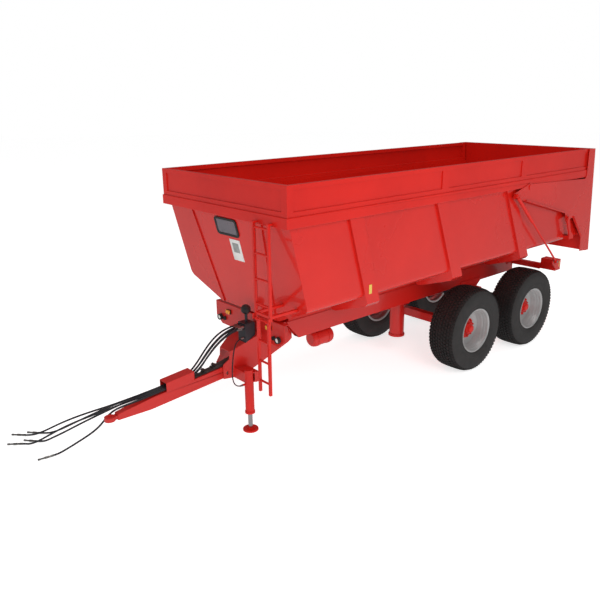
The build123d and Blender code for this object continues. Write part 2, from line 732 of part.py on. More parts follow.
def pivot_pins():
    """Fixed pins: tipping hinge, tailgate ram feet, drawbar pivot and bogie shaft."""
    pins = []
    inner, outer = CHASSIS_RAIL_INSIDE - 22, CHASSIS_RAIL_OUTSIDE + 22
    pins += both_sides(pin_y(HINGE_BACK, HINGE_HEIGHT, inner, outer, HINGE_PIN / 2))
    ram_pin = pin_y(HINGE_BACK, HINGE_HEIGHT, 1207, DOOR_RAM_SIDE + 24, 17)
    pins += both_sides(ram_pin)
    reach = NECK_FRONT_HALF + 12
    pins.append(pin_y(DRAWBAR_PIVOT_BACK, DRAWBAR_PIVOT_HEIGHT, -reach, reach, 25))
    shaft = SPRING_MID + SPRING_WIDTH / 2 + 30
    pins.append(pin_y(BOGIE_BACK, BOGIE_HEIGHT, -shaft, shaft, BOGIE_SHAFT / 2))
    return pins


def bogie_hangers():
    """Bearing brackets that hang from the chassis rails and hold the bogie shaft."""
    outline = [
        (BOGIE_BACK - 260, CHASSIS_RAIL_BOTTOM + 60),
        (BOGIE_BACK - 260, CHASSIS_RAIL_BOTTOM),
        (BOGIE_BACK - 80, BOGIE_HEIGHT - 40),
        (BOGIE_BACK - 40, BOGIE_HEIGHT - 78),
        (BOGIE_BACK + 40, BOGIE_HEIGHT - 78),
        (BOGIE_BACK + 80, BOGIE_HEIGHT - 40),
        (BOGIE_BACK + 260, CHASSIS_RAIL_BOTTOM),
        (BOGIE_BACK + 260, CHASSIS_RAIL_BOTTOM + 60),
    ]
    hangers = []
    for inner in (CHASSIS_RAIL_INSIDE - 16, CHASSIS_RAIL_OUTSIDE):
        plate = side_prism(outline, inner, inner + 16)
        plate -= pin_y(BOGIE_BACK, BOGIE_HEIGHT, inner - 5, inner + 25, BOGIE_SHAFT / 2)
        hangers += both_sides(plate)
    return hangers


def neck_half_width(back):
    """Half the neck's width, which grows from the drawbar to the chassis rails."""
    front = DRAWBAR_PIVOT_BACK - 55
    grow = (CHASSIS_RAIL_INSIDE - NECK_FRONT_HALF) / (700 - front)
    return NECK_FRONT_HALF + grow * (back - front)


def neck_top(back):
    """Top of the neck's cover plate at a distance behind the body's front."""
    return 975 + (back - 10) * (1275 - 975) / (RAIL_NOSE - 10)


def drawbar_neck():
    """Inverted channel from the chassis rails down to the drawbar's pivot."""
    front = DRAWBAR_PIVOT_BACK - 55
    rear = 760.0
    side_view = [
        (rear, 1275),
        (RAIL_NOSE, 1275),
        (10, 975),
        (0, 880),
        (front, 812),
        (front, 632),
        (150, 640),
        (rear + 40, CHASSIS_RAIL_BOTTOM + 8),
    ]
    outer = side_prism(side_view, -500, 500) & neck_plan(rear, 0)
    hollow_view = [
        (rear + 100, 1275 - NECK_PLATE),
        (RAIL_NOSE, 1275 - NECK_PLATE),
        (10, 975 - NECK_PLATE),
        (-30, 975 - NECK_PLATE - 15),
        (front - 50, 975),
        (front - 50, 500),
        (rear + 100, 500),
    ]
    hollow = side_prism(hollow_view, -500, 500) & neck_plan(rear + 100, NECK_PLATE)
    neck = outer - hollow
    reach = NECK_FRONT_HALF + 20
    return neck - pin_y(DRAWBAR_PIVOT_BACK, DRAWBAR_PIVOT_HEIGHT, -reach, reach, 25)


def neck_plan(rear, inset):
    """Plan-view wedge of the neck."""
    front = DRAWBAR_PIVOT_BACK - 120
    near = neck_half_width(front) - inset
    limit = CHASSIS_RAIL_INSIDE - inset
    turn = 700.0
    points = [(behind(front), near), (behind(turn), limit), (behind(rear), limit)]
    points += [(x, -y) for x, y in reversed(points)]
    return prism(points, "z", 400, 1500)


def front_bulkhead():
    """Plate under the body's nose that carries lamps and hose sockets."""
    back = 385.0
    half = 700.0
    notch = neck_half_width(back) + 1
    low, high = 1075.0, 1368.0
    seat = neck_top(back) + 0.5
    outline = [
        (-half, high),
        (half, high),
        (half, low + 90),
        (half - 120, low),
        (notch, low),
        (notch, seat),
        (-notch, seat),
        (-notch, low),
        (-half + 120, low),
        (-half, low + 90),
    ]
    plate = prism(outline, "x", behind(back), behind(back - 8))
    plate += block((behind(back), behind(back + 60)), (-half, half), (high - 8, high))
    stay_y = (CHASSIS_RAIL_MID - 30, CHASSIS_RAIL_MID + 30)
    stay = block((behind(back), behind(RAIL_NOSE)), stay_y, (1262, 1298))
    for piece in both_sides(stay):
        plate += piece
    return plate


def front_lamps():
    """Amber side markers and round white lamps on the front bulkhead."""
    face = behind(377)
    lamps = []
    for side in (1, -1):
        amber = block((face, face + 34), (side * 365, side * 455), (1245, 1300))
        lamps.append(fillet(amber.edges().filter_by(Axis.X), 8))
        lamps.append(rod((face, side * 590, 1165), (face + 42, side * 590, 1165), 40))
        lamps.append(rod((face, side * 500, 1165), (face + 24, side * 500, 1165), 26))
    return lamps


def tail_lamps():
    """Lamp clusters on the back of the rear beam's end boxes."""
    lamps = []
    for side in (1, -1):
        lamp = block((behind(5790), behind(5822)), (side * 965, side * 1195), (1185, 1318))
        lamps.append(fillet(lamp.edges().filter_by(Axis.X), 12))
    return lamps


def valve_block():
    """Hydraulic valve block on the neck with its hose sockets and the accumulator's stem."""
    near, far, left, right, top = 190.0, 330.0, 40.0, 190.0, 1300.0
    outline = [(near, neck_top(near)), (near, top), (far, top), (far, neck_top(far))]
    valve = side_prism(outline, left, right)
    for index in range(5):
        y = HOSE_SOCKET_Y[index]
        z = HOSE_SOCKET_Z[index]
        valve += rod((behind(near + 1), y, z), (behind(near - 40), y, z), 15)
    valve += rod((behind(near + 1), 175, 1130), (behind(near - 30), 175, 1130), 10)
    valve += rod((behind(260), 115, top - 1), (behind(260), 115, top + 100), 18)
    return valve


def accumulator():
    ball = Pos(behind(260), 115, 1300 + 100 + 58) * Sphere(60)
    return ball - rod((behind(260), 115, 1300), (behind(260), 115, 1400), 18)


def air_tank():
    """Brake air reservoir hung under the left rail on two straps."""
    x0, x1, y, z, radius = behind(1080), behind(1420), CHASSIS_RAIL_MID - 60, 925.0, 105.0
    tank = fillet(rod((x0, y, z), (x1, y, z), radius).edges(), 40)
    straps = []
    for x in (x0 - 80, x1 + 80):
        strap = rod((x - 20, y, z), (x + 20, y, z), radius + 5) - rod((x - 25, y, z), (x + 25, y, z), radius)
        post = block((x - 20, x + 20), (y - 15, y + 15), (z + radius + 3, CHASSIS_RAIL_BOTTOM))
        straps.append(strap + post)
    return tank, straps


# ---- running gear
def leaf(index, centre_z, half_span):
    """One spring leaf, bent down towards its ends."""
    inner = LEAF_RADIUS + index * LEAF
    outer = inner + LEAF
    origin_z = centre_z - LEAF_RADIUS
    half_angle = degrees(half_span / inner)

    def at(radius, angle):
        x = behind(BOGIE_BACK) + radius * sin(radians(angle))
        return (x, SPRING_MID - SPRING_WIDTH / 2, origin_z + radius * cos(radians(angle)))

    outline = Wire(
        [
            ThreePointArc(at(inner, -half_angle), at(inner, 0), at(inner, half_angle)),
            Line(at(inner, half_angle), at(outer, half_angle)),
            ThreePointArc(at(outer, half_angle), at(outer, 0), at(outer, -half_angle)),
            Line(at(outer, -half_angle), at(inner, -half_angle)),
        ]
    )
    return extrude(Face(outline), amount=SPRING_WIDTH, dir=(0, 1, 0))


def bogie_springs():
    """Two packs of leaves from axle to axle, rocking on the bogie shaft."""
    span = AXLE_SPACING / 2 + 70
    drop = LEAF_RADIUS * (1 - cos(AXLE_SPACING / 2 / LEAF_RADIUS))
    centre_z = TYRE_RADIUS + AXLE_SQUARE / 2 + 22 + drop
    packs = []
    for index in range(LEAF_COUNT):
        packs += both_sides(leaf(index, centre_z, span - 115 * index))
    return packs, centre_z


def spring_saddles(centre_z):
    """Bearing blocks that clamp each spring pack to the shaft, and the axle seats."""
    pack_top = centre_z + LEAF_COUNT * LEAF
    y0, y1 = SPRING_MID - SPRING_WIDTH / 2 - 12, SPRING_MID + SPRING_WIDTH / 2 + 12
    x = behind(BOGIE_BACK)
    block_low = pack_top + 0.4
    bearing = block((x - 120, x + 120), (y0, y1), (block_low, BOGIE_HEIGHT + 68))
    bearing = fillet(bearing.edges().filter_by(Axis.Y).group_by(Axis.Z)[-1], 50)
    bearing -= pin_y(BOGIE_BACK, BOGIE_HEIGHT, y0 - 1, y1 + 1, BOGIE_SHAFT / 2 + PIN_FIT)
    pieces = both_sides(bearing)
    plate = block((x - 120, x + 120), (y0, y1), (centre_z - 26, centre_z - 4))
    pieces += both_sides(plate)
    for dx in (-95, 95):
        for y in (y0 + 6, y1 - 6):
            bolt = rod((x + dx, y, centre_z - 44), (x + dx, y, block_low + 30), 5.5)
            pieces += both_sides(bolt)
    for end in (-1, 1):
        ax = x + end * AXLE_SPACING / 2
        seat_low = TYRE_RADIUS + AXLE_SQUARE / 2
        seat = block((ax - 60, ax + 60), (y0, y1), (seat_low, seat_low + 60))
        below = pin_y(BOGIE_BACK, centre_z - LEAF_RADIUS, y0 - 1, y1 + 1, LEAF_RADIUS - 0.3)
        pieces += both_sides(seat & below)
    return pieces


def axles():
    """Square axle tubes with round spindles, brake plates and air chambers."""
    pieces, chambers = [], []
    inner = WHEEL_MID - 150
    for end in (-1, 1):
        x = behind(BOGIE_BACK) + end * AXLE_SPACING / 2
        half = AXLE_SQUARE / 2
        beam = block((x - half, x + half), (-inner, inner), (TYRE_RADIUS - half, TYRE_RADIUS + half))
        for side in (1, -1):
            beam += rod((x, side * (inner - 2), TYRE_RADIUS), (x, side * (inner + 12), TYRE_RADIUS), DRUM_RADIUS - 12)
            reach = WHEEL_MID + 95
            beam += rod((x, side * (inner + 10), TYRE_RADIUS), (x, side * reach, TYRE_RADIUS), SPINDLE / 2)
        pieces.append(beam)
        for side in (1, -1):
            y = side * 400
            pot = rod((x - end * 100, y, 640), (x - end * 190, y, 650), 78)
            stem = rod((x - end * half, y, 636), (x - end * 110, y, 641), 26)
            stem -= block((x - half, x + half), (y - 40, y + 40), (600, 680))
            chambers.append(pot + stem)
    return pieces, chambers


def ring_profile(points, place):
    """Closed outline of (y, radius) points turned about a wheel's axle."""
    outline = Polyline(*[(0, y, radius) for y, radius in points], close=True)
    return place * revolve(make_face(outline), Axis.Y, 360)


def wheel(x, side):
    """Tyre, rim, hub and nuts of one wheel, outer face away from the trailer's middle."""
    place = Pos(x, side * WHEEL_MID, TYRE_RADIUS)
    half = TYRE_WIDTH / 2
    bead = RIM_SEAT + 0.4

    def turned(points):
        return ring_profile([(side * y, radius) for y, radius in points], place)

    lip = half - 22
    middle = (RIM_RADIUS + TYRE_RADIUS) / 2
    shoulder = [
        (lip - 74, bead),
        (lip - 20, bead),
        (lip - 11.5, RIM_RADIUS + 3),
        (half - 6, RIM_RADIUS + 26),
        (half, middle),
        (half - 16, TYRE_RADIUS - 70),
        (half - 46, TYRE_RADIUS - 24),
        (half - 90, TYRE_RADIUS - 10),
        (60, TYRE_RADIUS),
    ]
    lining = [
        (lip - 74, bead + 8),
        (half - 40, RIM_RADIUS + 50),
        (half - 24, middle),
        (half - 44, TYRE_RADIUS - 96),
        (half - 90, TYRE_RADIUS - 56),
    ]
    outside = shoulder + [(-y, radius) for y, radius in reversed(shoulder)]
    inside = [(-y, radius) for y, radius in lining] + list(reversed(lining))
    tyre = turned(outside + inside)
    rim = turned(
        [
            (-lip, RIM_RADIUS),
            (-lip + 9, RIM_RADIUS),
            (-lip + 14, RIM_SEAT),
            (-lip + 80, RIM_SEAT - 4),
            (-lip + 110, RIM_WELL),
            (lip - 150, RIM_WELL),
            (lip - 110, RIM_SEAT - 4),
            (lip - 14, RIM_SEAT),
            (lip - 9, RIM_RADIUS),
            (lip, RIM_RADIUS),
            (lip, RIM_RADIUS - 8),
            (lip - 6, RIM_SEAT - 8),
            (lip - 106, RIM_SEAT - 14),
            (lip - 146, RIM_WELL - 10),
            (lip - DISC_INSET + 40, RIM_WELL - 10),
            (lip - DISC_INSET + 12, 190),
            (lip - DISC_INSET + 30, 165),
            (lip - DISC_INSET + 30, HUB_RADIUS + 2),
            (lip - DISC_INSET + 18, HUB_RADIUS + 2),
            (lip - DISC_INSET + 18, 160),
            (lip - DISC_INSET - 2, 188),
            (lip - DISC_INSET + 22, RIM_WELL - 10),
            (-lip + 106, RIM_WELL - 10),
            (-lip + 76, RIM_SEAT - 14),
            (-lip + 6, RIM_SEAT - 10),
            (-lip, RIM_RADIUS - 8),
        ]
    )
    disc_back = lip - DISC_INSET + 17.6
    drum_back = -138.0
    hub = turned(
        [
            (drum_back + 12, SPINDLE / 2 + PIN_FIT),
            (drum_back + 12, DRUM_RADIUS - 6),
            (drum_back, DRUM_RADIUS - 6),
            (drum_back, DRUM_RADIUS + 8),
            (disc_back - 30, DRUM_RADIUS + 2),
            (disc_back - 16, 158),
            (disc_back, 158),
            (disc_back, HUB_RADIUS),
            (disc_back + 95, HUB_RADIUS - 6),
            (disc_back + 104, HUB_RADIUS - 18),
            (disc_back + 112, 45),
            (disc_back + 112, 0.5),
            (disc_back + 98, 0.5),
            (disc_back + 98, SPINDLE / 2 + PIN_FIT),
        ]
    )
    face = lip - DISC_INSET + 30.4
    nuts = []
    for index in range(STUD_COUNT):
        turn = 360 / STUD_COUNT * index
        nut = extrude(Plane.XZ * RegularPolygon(17, 6), amount=22, dir=(0, side, 0))
        stud = extrude(Plane.XZ * Circle(10), amount=32, dir=(0, side, 0))
        at = Pos(0, side * face, 0) * Rot(0, turn, 0) * Pos(0, 0, STUD_CIRCLE)
        nuts += (place * at * (nut + stud)).solids()
    return tyre, rim, hub, nuts


# ---- drawbar
def drawbar_top(ahead):
    """Top of the drawbar at a distance ahead of the body's front."""
    return 781 - DRAWBAR_DROP * (ahead - 76)


def drawbar_beam():
    """Box beam from the pivot, narrowing to the eye."""
    tail, knuckle, tip = -30.0, 1040.0, 1440.0
    top, bottom = drawbar_top, lambda ahead: drawbar_top(ahead) - DRAWBAR_DEPTH
    side_view = [
        (-tail, top(tail)),
        (-knuckle, top(knuckle)),
        (-tip, EYE_HEIGHT + EYE_THICK / 2 + 14),
        (-tip, EYE_HEIGHT - EYE_THICK / 2 - 10),
        (-knuckle, bottom(knuckle) + 12),
        (-tail, bottom(tail)),
    ]
    plan = [
        (behind(-tail), DRAWBAR_HALF_WIDTH),
        (behind(-knuckle), DRAWBAR_HALF_WIDTH),
        (behind(-tip), 42),
    ]
    plan += [(x, -y) for x, y in reversed(plan)]
    beam = side_prism(side_view, -200, 200) & prism(plan, "z", 300, 1000)
    wall = 10.0
    cavity = side_prism(
        [
            (-tail + 10, top(tail) - wall),
            (-knuckle, top(knuckle) - wall),
            (-knuckle, bottom(knuckle) + 12 + wall),
            (-tail + 10, bottom(tail) + wall),
        ],
        -DRAWBAR_HALF_WIDTH + wall,
        DRAWBAR_HALF_WIDTH - wall,
    )
    sleeve = pin_y(DRAWBAR_PIVOT_BACK, DRAWBAR_PIVOT_HEIGHT, -DRAWBAR_HALF_WIDTH, DRAWBAR_HALF_WIDTH, 42)
    beam = (beam - cavity) + sleeve
    reach = DRAWBAR_HALF_WIDTH + 5
    return beam - pin_y(DRAWBAR_PIVOT_BACK, DRAWBAR_PIVOT_HEIGHT, -reach, reach, 25 + PIN_FIT)


def drawbar_eye():
    """Forged towing eye with its shank against the beam's end."""
    centre = NOSE_REACH - EYE_RADIUS
    x = behind(-centre)
    low, high = EYE_HEIGHT - EYE_THICK / 2, EYE_HEIGHT + EYE_THICK / 2
    ring = rod((x, 0, low), (x, 0, high), EYE_RADIUS)
    shank = block((behind(-1440), x), (-34, 34), (low + 4, high - 4))
    eye = ring + shank
    return eye - rod((x, 0, low - 1), (x, 0, high + 1), EYE_BORE / 2)


def hose_guide():
    """Sloping channel on the drawbar that the hoses run through."""
    near, far = 480.0, 850.0
    inner_height, inner_half, wall = 100.0, 70.0, 5.0
    top = drawbar_top

    def layer(low, high, half, start, end):
        view = [
            (-start, top(start) + low),
            (-end, top(end) + low),
            (-end, top(end) + high),
            (-start, top(start) + high),
        ]
        return side_prism(view, -half, half)

    outer = layer(0, inner_height + 2 * wall, inner_half + wall, near, far)
    return outer - layer(wall, inner_height + wall, inner_half, near - 10, far + 10)


def drawbar_leaf_spring():
    """Leaves along the drawbar's top; they slide under the neck's cover plate."""
    leaves = []
    thick, half = 12.0, 38.0
    front_ends = (455.0, 330.0, 200.0)
    for index, front in enumerate(front_ends):
        lift = index * (thick + 0.4)
        rear = -430 + 60 * index
        low = [(front, drawbar_top(front) + lift), (60, drawbar_top(60) + lift), (rear, 868 + lift)]
        high = [(ahead, z + thick) for ahead, z in reversed(low)]
        leaves.append(side_prism([(-ahead, z) for ahead, z in low + high], -half, half))
    for ahead in (150.0, 300.0):
        z = drawbar_top(ahead)
        stack = (3 if ahead < 200 else 2) * (thick + 0.4)
        strap = block((behind(-ahead - 22), behind(-ahead + 22)), (-52, 52), (z + stack + 1, z + stack + 13))
        for y in (45, -45):
            strap += rod((behind(-ahead), y, z + 2.5), (behind(-ahead), y, z + stack + 24), 6)
        leaves.append(strap)
    return leaves


def jack():
    """Bracket, barrel, rod and foot of the parking jack."""
    x = behind(JACK_BACK)
    y = JACK_SIDE
    barrel = rod((x, y, JACK_BOTTOM), (x, y, JACK_TOP), JACK_BARREL)
    barrel += rod((x, y, JACK_BOTTOM), (x, y, JACK_BOTTOM + 26), JACK_BARREL + 7)
    barrel -= rod((x, y, JACK_BOTTOM - 1), (x, y, JACK_TOP - 14), JACK_ROD + PIN_FIT)
    barrel += rod((x + JACK_BARREL - 6, y - 18, 610), (x + JACK_BARREL + 34, y - 18, 610), 13)
    stem = rod((x, y, JACK_FOOT_THICK), (x, y, 430), JACK_ROD)
    foot = rod((x, y, 0), (x, y, JACK_FOOT_THICK), JACK_FOOT)
    foot = fillet(foot.edges().group_by(Axis.Z)[-1], 8)
    collar = rod((x, y, JACK_FOOT_THICK - 1), (x, y, JACK_FOOT_THICK + 18), JACK_ROD + 18)
    foot += collar - rod((x, y, JACK_FOOT_THICK), (x, y, JACK_FOOT_THICK + 20), JACK_ROD)
    inner = neck_half_width(JACK_BACK + 70)
    bracket = prism(
        [
            (x + 60, neck_half_width(JACK_BACK - 60) + 0.5),
            (x + 60, y),
            (x - 60, y + 72),
            (x - 100, y + 72),
            (x - 100, neck_half_width(JACK_BACK + 100) + 0.5),
        ],
        "z",
        640,
        770,
    )
    bracket -= rod((x, y, 600), (x, y, 900), JACK_BARREL)
    bracket -= block((x - 90, x + 50), (inner + 18, y + 60), (655, 755))
    return bracket, barrel, stem, foot


# ---- ladder
def ladder_section(left, right, x, low, high, rungs):
    half = LADDER_TUBE / 2
    rails = [block((x - half, x + half), (y - half, y + half), (low, high)) for y in (left, right)]
    section = rails[0] + rails[1]
    for z in rungs:
        section += rod((x, left, z), (x, right, z), RUNG_RADIUS)
    return section


def upper_ladder():
    left, right = LADDER_LEFT
    x = behind(-LADDER_AHEAD)
    half = LADDER_TUBE / 2
    wall = tub_ends(0, 0)
    rungs = (1750, 2030, 2310, 2590)
    section = ladder_section(left, right, x, LADDER_JOINT + 20, 2650, rungs)
    for y in (left, right):
        section += block((behind(0), x), (y - half, y + half), (2632, 2650))
        wall_back = front_wall_back(1640)
        bar = block((behind(wall_back + 30), x), (y - half, y + half), (1625, 1655))
        section += bar - wall
    section += block((x - half, x + half), (left, right), (1625, 1655))
    for y in (left - half, right + half):
        lug = block((x + half, x + half + 26), (y - 5, y + 5), (LADDER_JOINT - 4, LADDER_JOINT + 60))
        section += lug
    joint_x = x + half + 14
    section -= rod((joint_x, left - 60, LADDER_JOINT + 12), (joint_x, right + 60, LADDER_JOINT + 12), 7 + PIN_FIT)
    return section


def lower_ladder():
    left, right = LADDER_LEFT[0] + 34, LADDER_LEFT[1] - 34
    half = LADDER_TUBE / 2
    x = behind(-LADDER_AHEAD)
    rungs = (1330, 1090, 850)
    section = ladder_section(left, right, x, LADDER_FOOT, LADDER_JOINT + 10, rungs)
    joint_x = x + half + 14
    joint_z = LADDER_JOINT + 12
    for y in (left, right):
        section += block((x, joint_x), (y - 6, y + 6), (joint_z - 24, joint_z - 4))
        section += rod((joint_x, y - 6, joint_z), (joint_x, y + 6, joint_z), 17)
    section += rod((joint_x, LADDER_LEFT[0] - 24, joint_z), (joint_x, LADDER_LEFT[1] + 24, joint_z), 7)
    return section


# ---- tipping ram
def tipping_ram():
    """Barrel with trunnions, two sleeves and the top stage with its ball."""
    x = behind(RAM_BACK)
    clearance = 0.4
    outer, first, second, third = RAM_RADII
    barrel = rod((x, 0, RAM_BOTTOM), (x, 0, RAM_BARREL_TOP), outer)
    barrel += rod((x, 0, RAM_BOTTOM), (x, 0, RAM_BOTTOM + 30), outer + 14)
    barrel += rod((x, 0, RAM_BARREL_TOP - 36), (x, 0, RAM_BARREL_TOP), outer + 8)
    reach = outer + 70
    barrel += rod((x, -reach, RAM_TRUNNION), (x, reach, RAM_TRUNNION), 35)
    barrel -= rod((x, 0, RAM_BOTTOM + 30), (x, 0, RAM_BARREL_TOP + 1), first + clearance)
    stages = []
    lows = (RAM_BOTTOM + 40, RAM_BOTTOM + 52, RAM_BOTTOM + 64)
    tops = (RAM_BARREL_TOP + 14, RAM_BARREL_TOP + 28, RAM_BALL_HEIGHT)
    for index in (0, 1):
        radius, inner = RAM_RADII[index + 1], RAM_RADII[index + 2]
        sleeve = rod((x, 0, lows[index]), (x, 0, tops[index]), radius)
        sleeve -= rod((x, 0, lows[index] + 10), (x, 0, tops[index] + 1), inner + clearance)
        stages.append(sleeve)
    top_stage = rod((x, 0, lows[2]), (x, 0, RAM_BARREL_TOP + 42), third)
    top_stage += rod((x, 0, RAM_BARREL_TOP + 40), (x, 0, RAM_BALL_HEIGHT), 26)
    top_stage += Pos(x, 0, RAM_BALL_HEIGHT) * Sphere(RAM_BALL)
    stages.append(top_stage)
    return [barrel] + stages


# ---- hoses: hand-laid routes, from the valve block to the free end
HOSE_SOCKET_Y = (60.0, 88.0, 116.0, 144.0, 172.0)
HOSE_SOCKET_Z = (1268.0, 1236.0, 1268.0, 1236.0, 1268.0)
HOSE_ROUTES = {
    "hose_1": [
        (2410, 60, 1268), (2500, 60, 1268), (2640, 40, 1225), (2755, 12, 1130), (2845, -18, 1010),
        (2930, -42, 890), (3030, -50, 797), (3180, -50, 764), (3350, -51, 744), (3500, -58, 727),
        (3625, -95, 700), (3735, -210, 630), (3840, -380, 532), (3950, -562, 420), (4062, -740, 304),
        (4170, -905, 192), (4262, -1058, 90), (4337, -1172, 30), (4398, -1250, 15), (4446, -1304, 15),
    ],
    "hose_2": [
        (2410, 88, 1236), (2495, 88, 1236), (2625, 66, 1190), (2735, 38, 1095), (2825, 6, 980),
        (2915, -16, 868), (3020, -25, 790), (3175, -25, 765), (3345, -25, 743), (3520, -32, 728),
        (3660, -66, 712), (3790, -165, 655), (3920, -335, 560), (4060, -545, 455), (4195, -750, 345),
        (4320, -945, 225), (4425, -1115, 110), (4500, -1240, 40), (4555, -1325, 15), (4603, -1375, 15),
    ],
    "hose_3": [
        (2410, 116, 1268), (2505, 116, 1268), (2645, 92, 1212), (2760, 58, 1108), (2855, 26, 985),
        (2935, 4, 872), (3035, 0, 793), (3185, 0, 763), (3355, 0, 743), (3535, -4, 728),
        (3690, -28, 710), (3830, -110, 658), (3960, -250, 560), (4090, -415, 445), (4210, -580, 328),
        (4320, -745, 208), (4410, -900, 105), (4462, -1000, 40), (4505, -1078, 15), (4548, -1130, 15),
    ],
    "hose_4": [
        (2410, 144, 1236), (2500, 144, 1236), (2630, 120, 1178), (2740, 86, 1084), (2835, 52, 968),
        (2920, 30, 862), (3025, 25, 788), (3180, 25, 763), (3350, 25, 743), (3530, 24, 728),
        (3700, 6, 712), (3850, -62, 678), (3985, -190, 598), (4115, -345, 510), (4245, -515, 410),
        (4370, -690, 295), (4475, -850, 175), (4560, -985, 75), (4620, -1085, 22), (4660, -1150, 15),
        (4705, -1185, 15),
    ],
    "hose_5": [
        (2410, 172, 1268), (2505, 172, 1268), (2640, 146, 1204), (2755, 108, 1102), (2850, 74, 980),
        (2935, 54, 868), (3035, 50, 790), (3185, 50, 762), (3355, 50, 743), (3530, 49, 728),
        (3690, 44, 710), (3830, 24, 694), (3930, 4, 678), (4008, -34, 646), (4064, -100, 566),
        (4100, -170, 465), (4150, -250, 370), (4220, -335, 285), (4290, -425, 205), (4338, -510, 135),
        (4378, -584, 77), (4421, -632, 35), (4475, -657, 15), (4535, -664, 15),
    ],
}
JACK_HOSE = [
    (2400, 175, 1130), (2456, 175, 1130), (2530, 196, 1088), (2585, 230, 1000), (2625, 262, 905),
    (2655, 288, 815), (2668, 306, 730), (2655, 322, 655), (2603, 330, 610), (2549, 330, 610),
]


def corner_radii(points):
    """Largest arc that each corner's two runs allow, taking 0.45 of the shorter run."""
    radii = []
    for before, corner, after in zip(points, points[1:], points[2:]):
        first = Vector(*corner) - Vector(*before)
        second = Vector(*after) - Vector(*corner)
        turn = radians(first.get_angle(second))
        radii.append(0.45 * min(first.length, second.length) / tan(turn / 2))
    return radii


def hose(name, points, radius):
    """Round hose along straight runs joined by tangent arcs."""
    radii = corner_radii(points)
    path = FilletPolyline(*points, radius=radii)
    start = Plane(origin=path @ 0, z_dir=path % 0)
    tube = sweep(start * Circle(radius), path=path)
    expected = pi * radius**2 * path.length
    print(f"{name}: length {path.length:.0f} mm, volume ratio {tube.volume / expected:.4f}")
    print("  radii " + " ".join(f"{r:.0f}" for r in radii))
    return tube


def couplings():
    """Steel quick couplings on the free ends, and the jack hose's banjo."""
    pieces = []
    for name, points in HOSE_ROUTES.items():
        start = Vector(*points[-1])
        lie = (start - Vector(*points[-2])).normalized()
        body = rod(tuple(start), tuple(start + lie * 70), 14.5)
        body += rod(tuple(start + lie * 66), tuple(start + lie * 120), 10.5)
        body += rod(tuple(start + lie * 112), tuple(start + lie * COUPLING_LENGTH), 12.5)
        pieces.append(body)
    return pieces


def build():
    os.makedirs("parts", exist_ok=True)
    save("tub_shell", tub_shell())
    save("body_ribs", body_ribs() + front_ribs() + both_sides(pivot_boss()))
    save("top_rail", top_rail())
    save("extension_boards", both_sides(side_board()) + [front_board()])
    save("body_subframe", body_subframe() + stop_horns())
    window_frame, window_glass = front_window()
    save("window_frame", window_frame)
    save("window_glass", window_glass)
    save("upper_ladder", upper_ladder())
    save("lower_ladder", lower_ladder())
    save("tailgate_panel", [tailgate_panel()] + hatch_guides())
    save("tailgate_arms", both_sides(tailgate_arm()))
    save("grain_hatch", grain_hatch())
    barrel, shaft = door_ram()
    save("door_ram_barrels", both_sides(barrel))
    save("door_ram_rods", both_sides(shaft))
    save("chassis_rails", chassis_rails())
    save("cross_members", cross_members() + hinge_ears())
    save("lamp_beam", lamp_beam())
    save("pivot_pins", pivot_pins())
    save("bogie_hangers", bogie_hangers())
    save("drawbar_neck", drawbar_neck())
    save("front_bulkhead", front_bulkhead())
    save("lamps", front_lamps() + tail_lamps())
    save("valve_block", valve_block())
    save("accumulator", accumulator())
    tank, straps = air_tank()
    save("air_tank", [tank] + straps)
    packs, centre_z = bogie_springs()
    save("bogie_springs", packs)
    save("spring_saddles", spring_saddles(centre_z))
    beams, chambers = axles()
    save("axles", beams)
    save("brake_chambers", chambers)
    for axle_name, end in (("front", 1), ("rear", -1)):
        for side_name, side in (("left", 1), ("right", -1)):
            x = behind(BOGIE_BACK) + end * AXLE_SPACING / 2
            tyre, rim, hub, nuts = wheel(x, side)
            place = f"{axle_name}_{side_name}"
            save(f"tyre_{place}", tyre)
            save(f"rim_{place}", rim)
            save(f"hub_{place}", [hub] + nuts)
    save("drawbar_beam", drawbar_beam())
    save("drawbar_eye", drawbar_eye())
    save("hose_guide", hose_guide())
    save("drawbar_leaf_spring", drawbar_leaf_spring())
    bracket, jack_barrel, stem, foot = jack()
    save("jack_bracket", bracket)
    save("jack_barrel", jack_barrel)
    save("jack_rod", stem)
    save("jack_foot", foot)
    for name, stage in zip(("ram_barrel", "ram_stage_1", "ram_stage_2", "ram_stage_3"), tipping_ram()):
        save(name, stage)
    for name, points in HOSE_ROUTES.items():
        save(name, hose(name, points, HOSE_RADIUS))
    save("hose_jack", hose("hose_jack", JACK_HOSE, THIN_HOSE_RADIUS))
    save("hose_couplings", couplings())


build()
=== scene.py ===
from math import cos, pi, radians, sin

import bmesh
import bpy
from bpy.props import (
    FloatProperty,
    FloatVectorProperty,
    IntProperty,
    PointerProperty,
)
from mathutils import Matrix, Vector


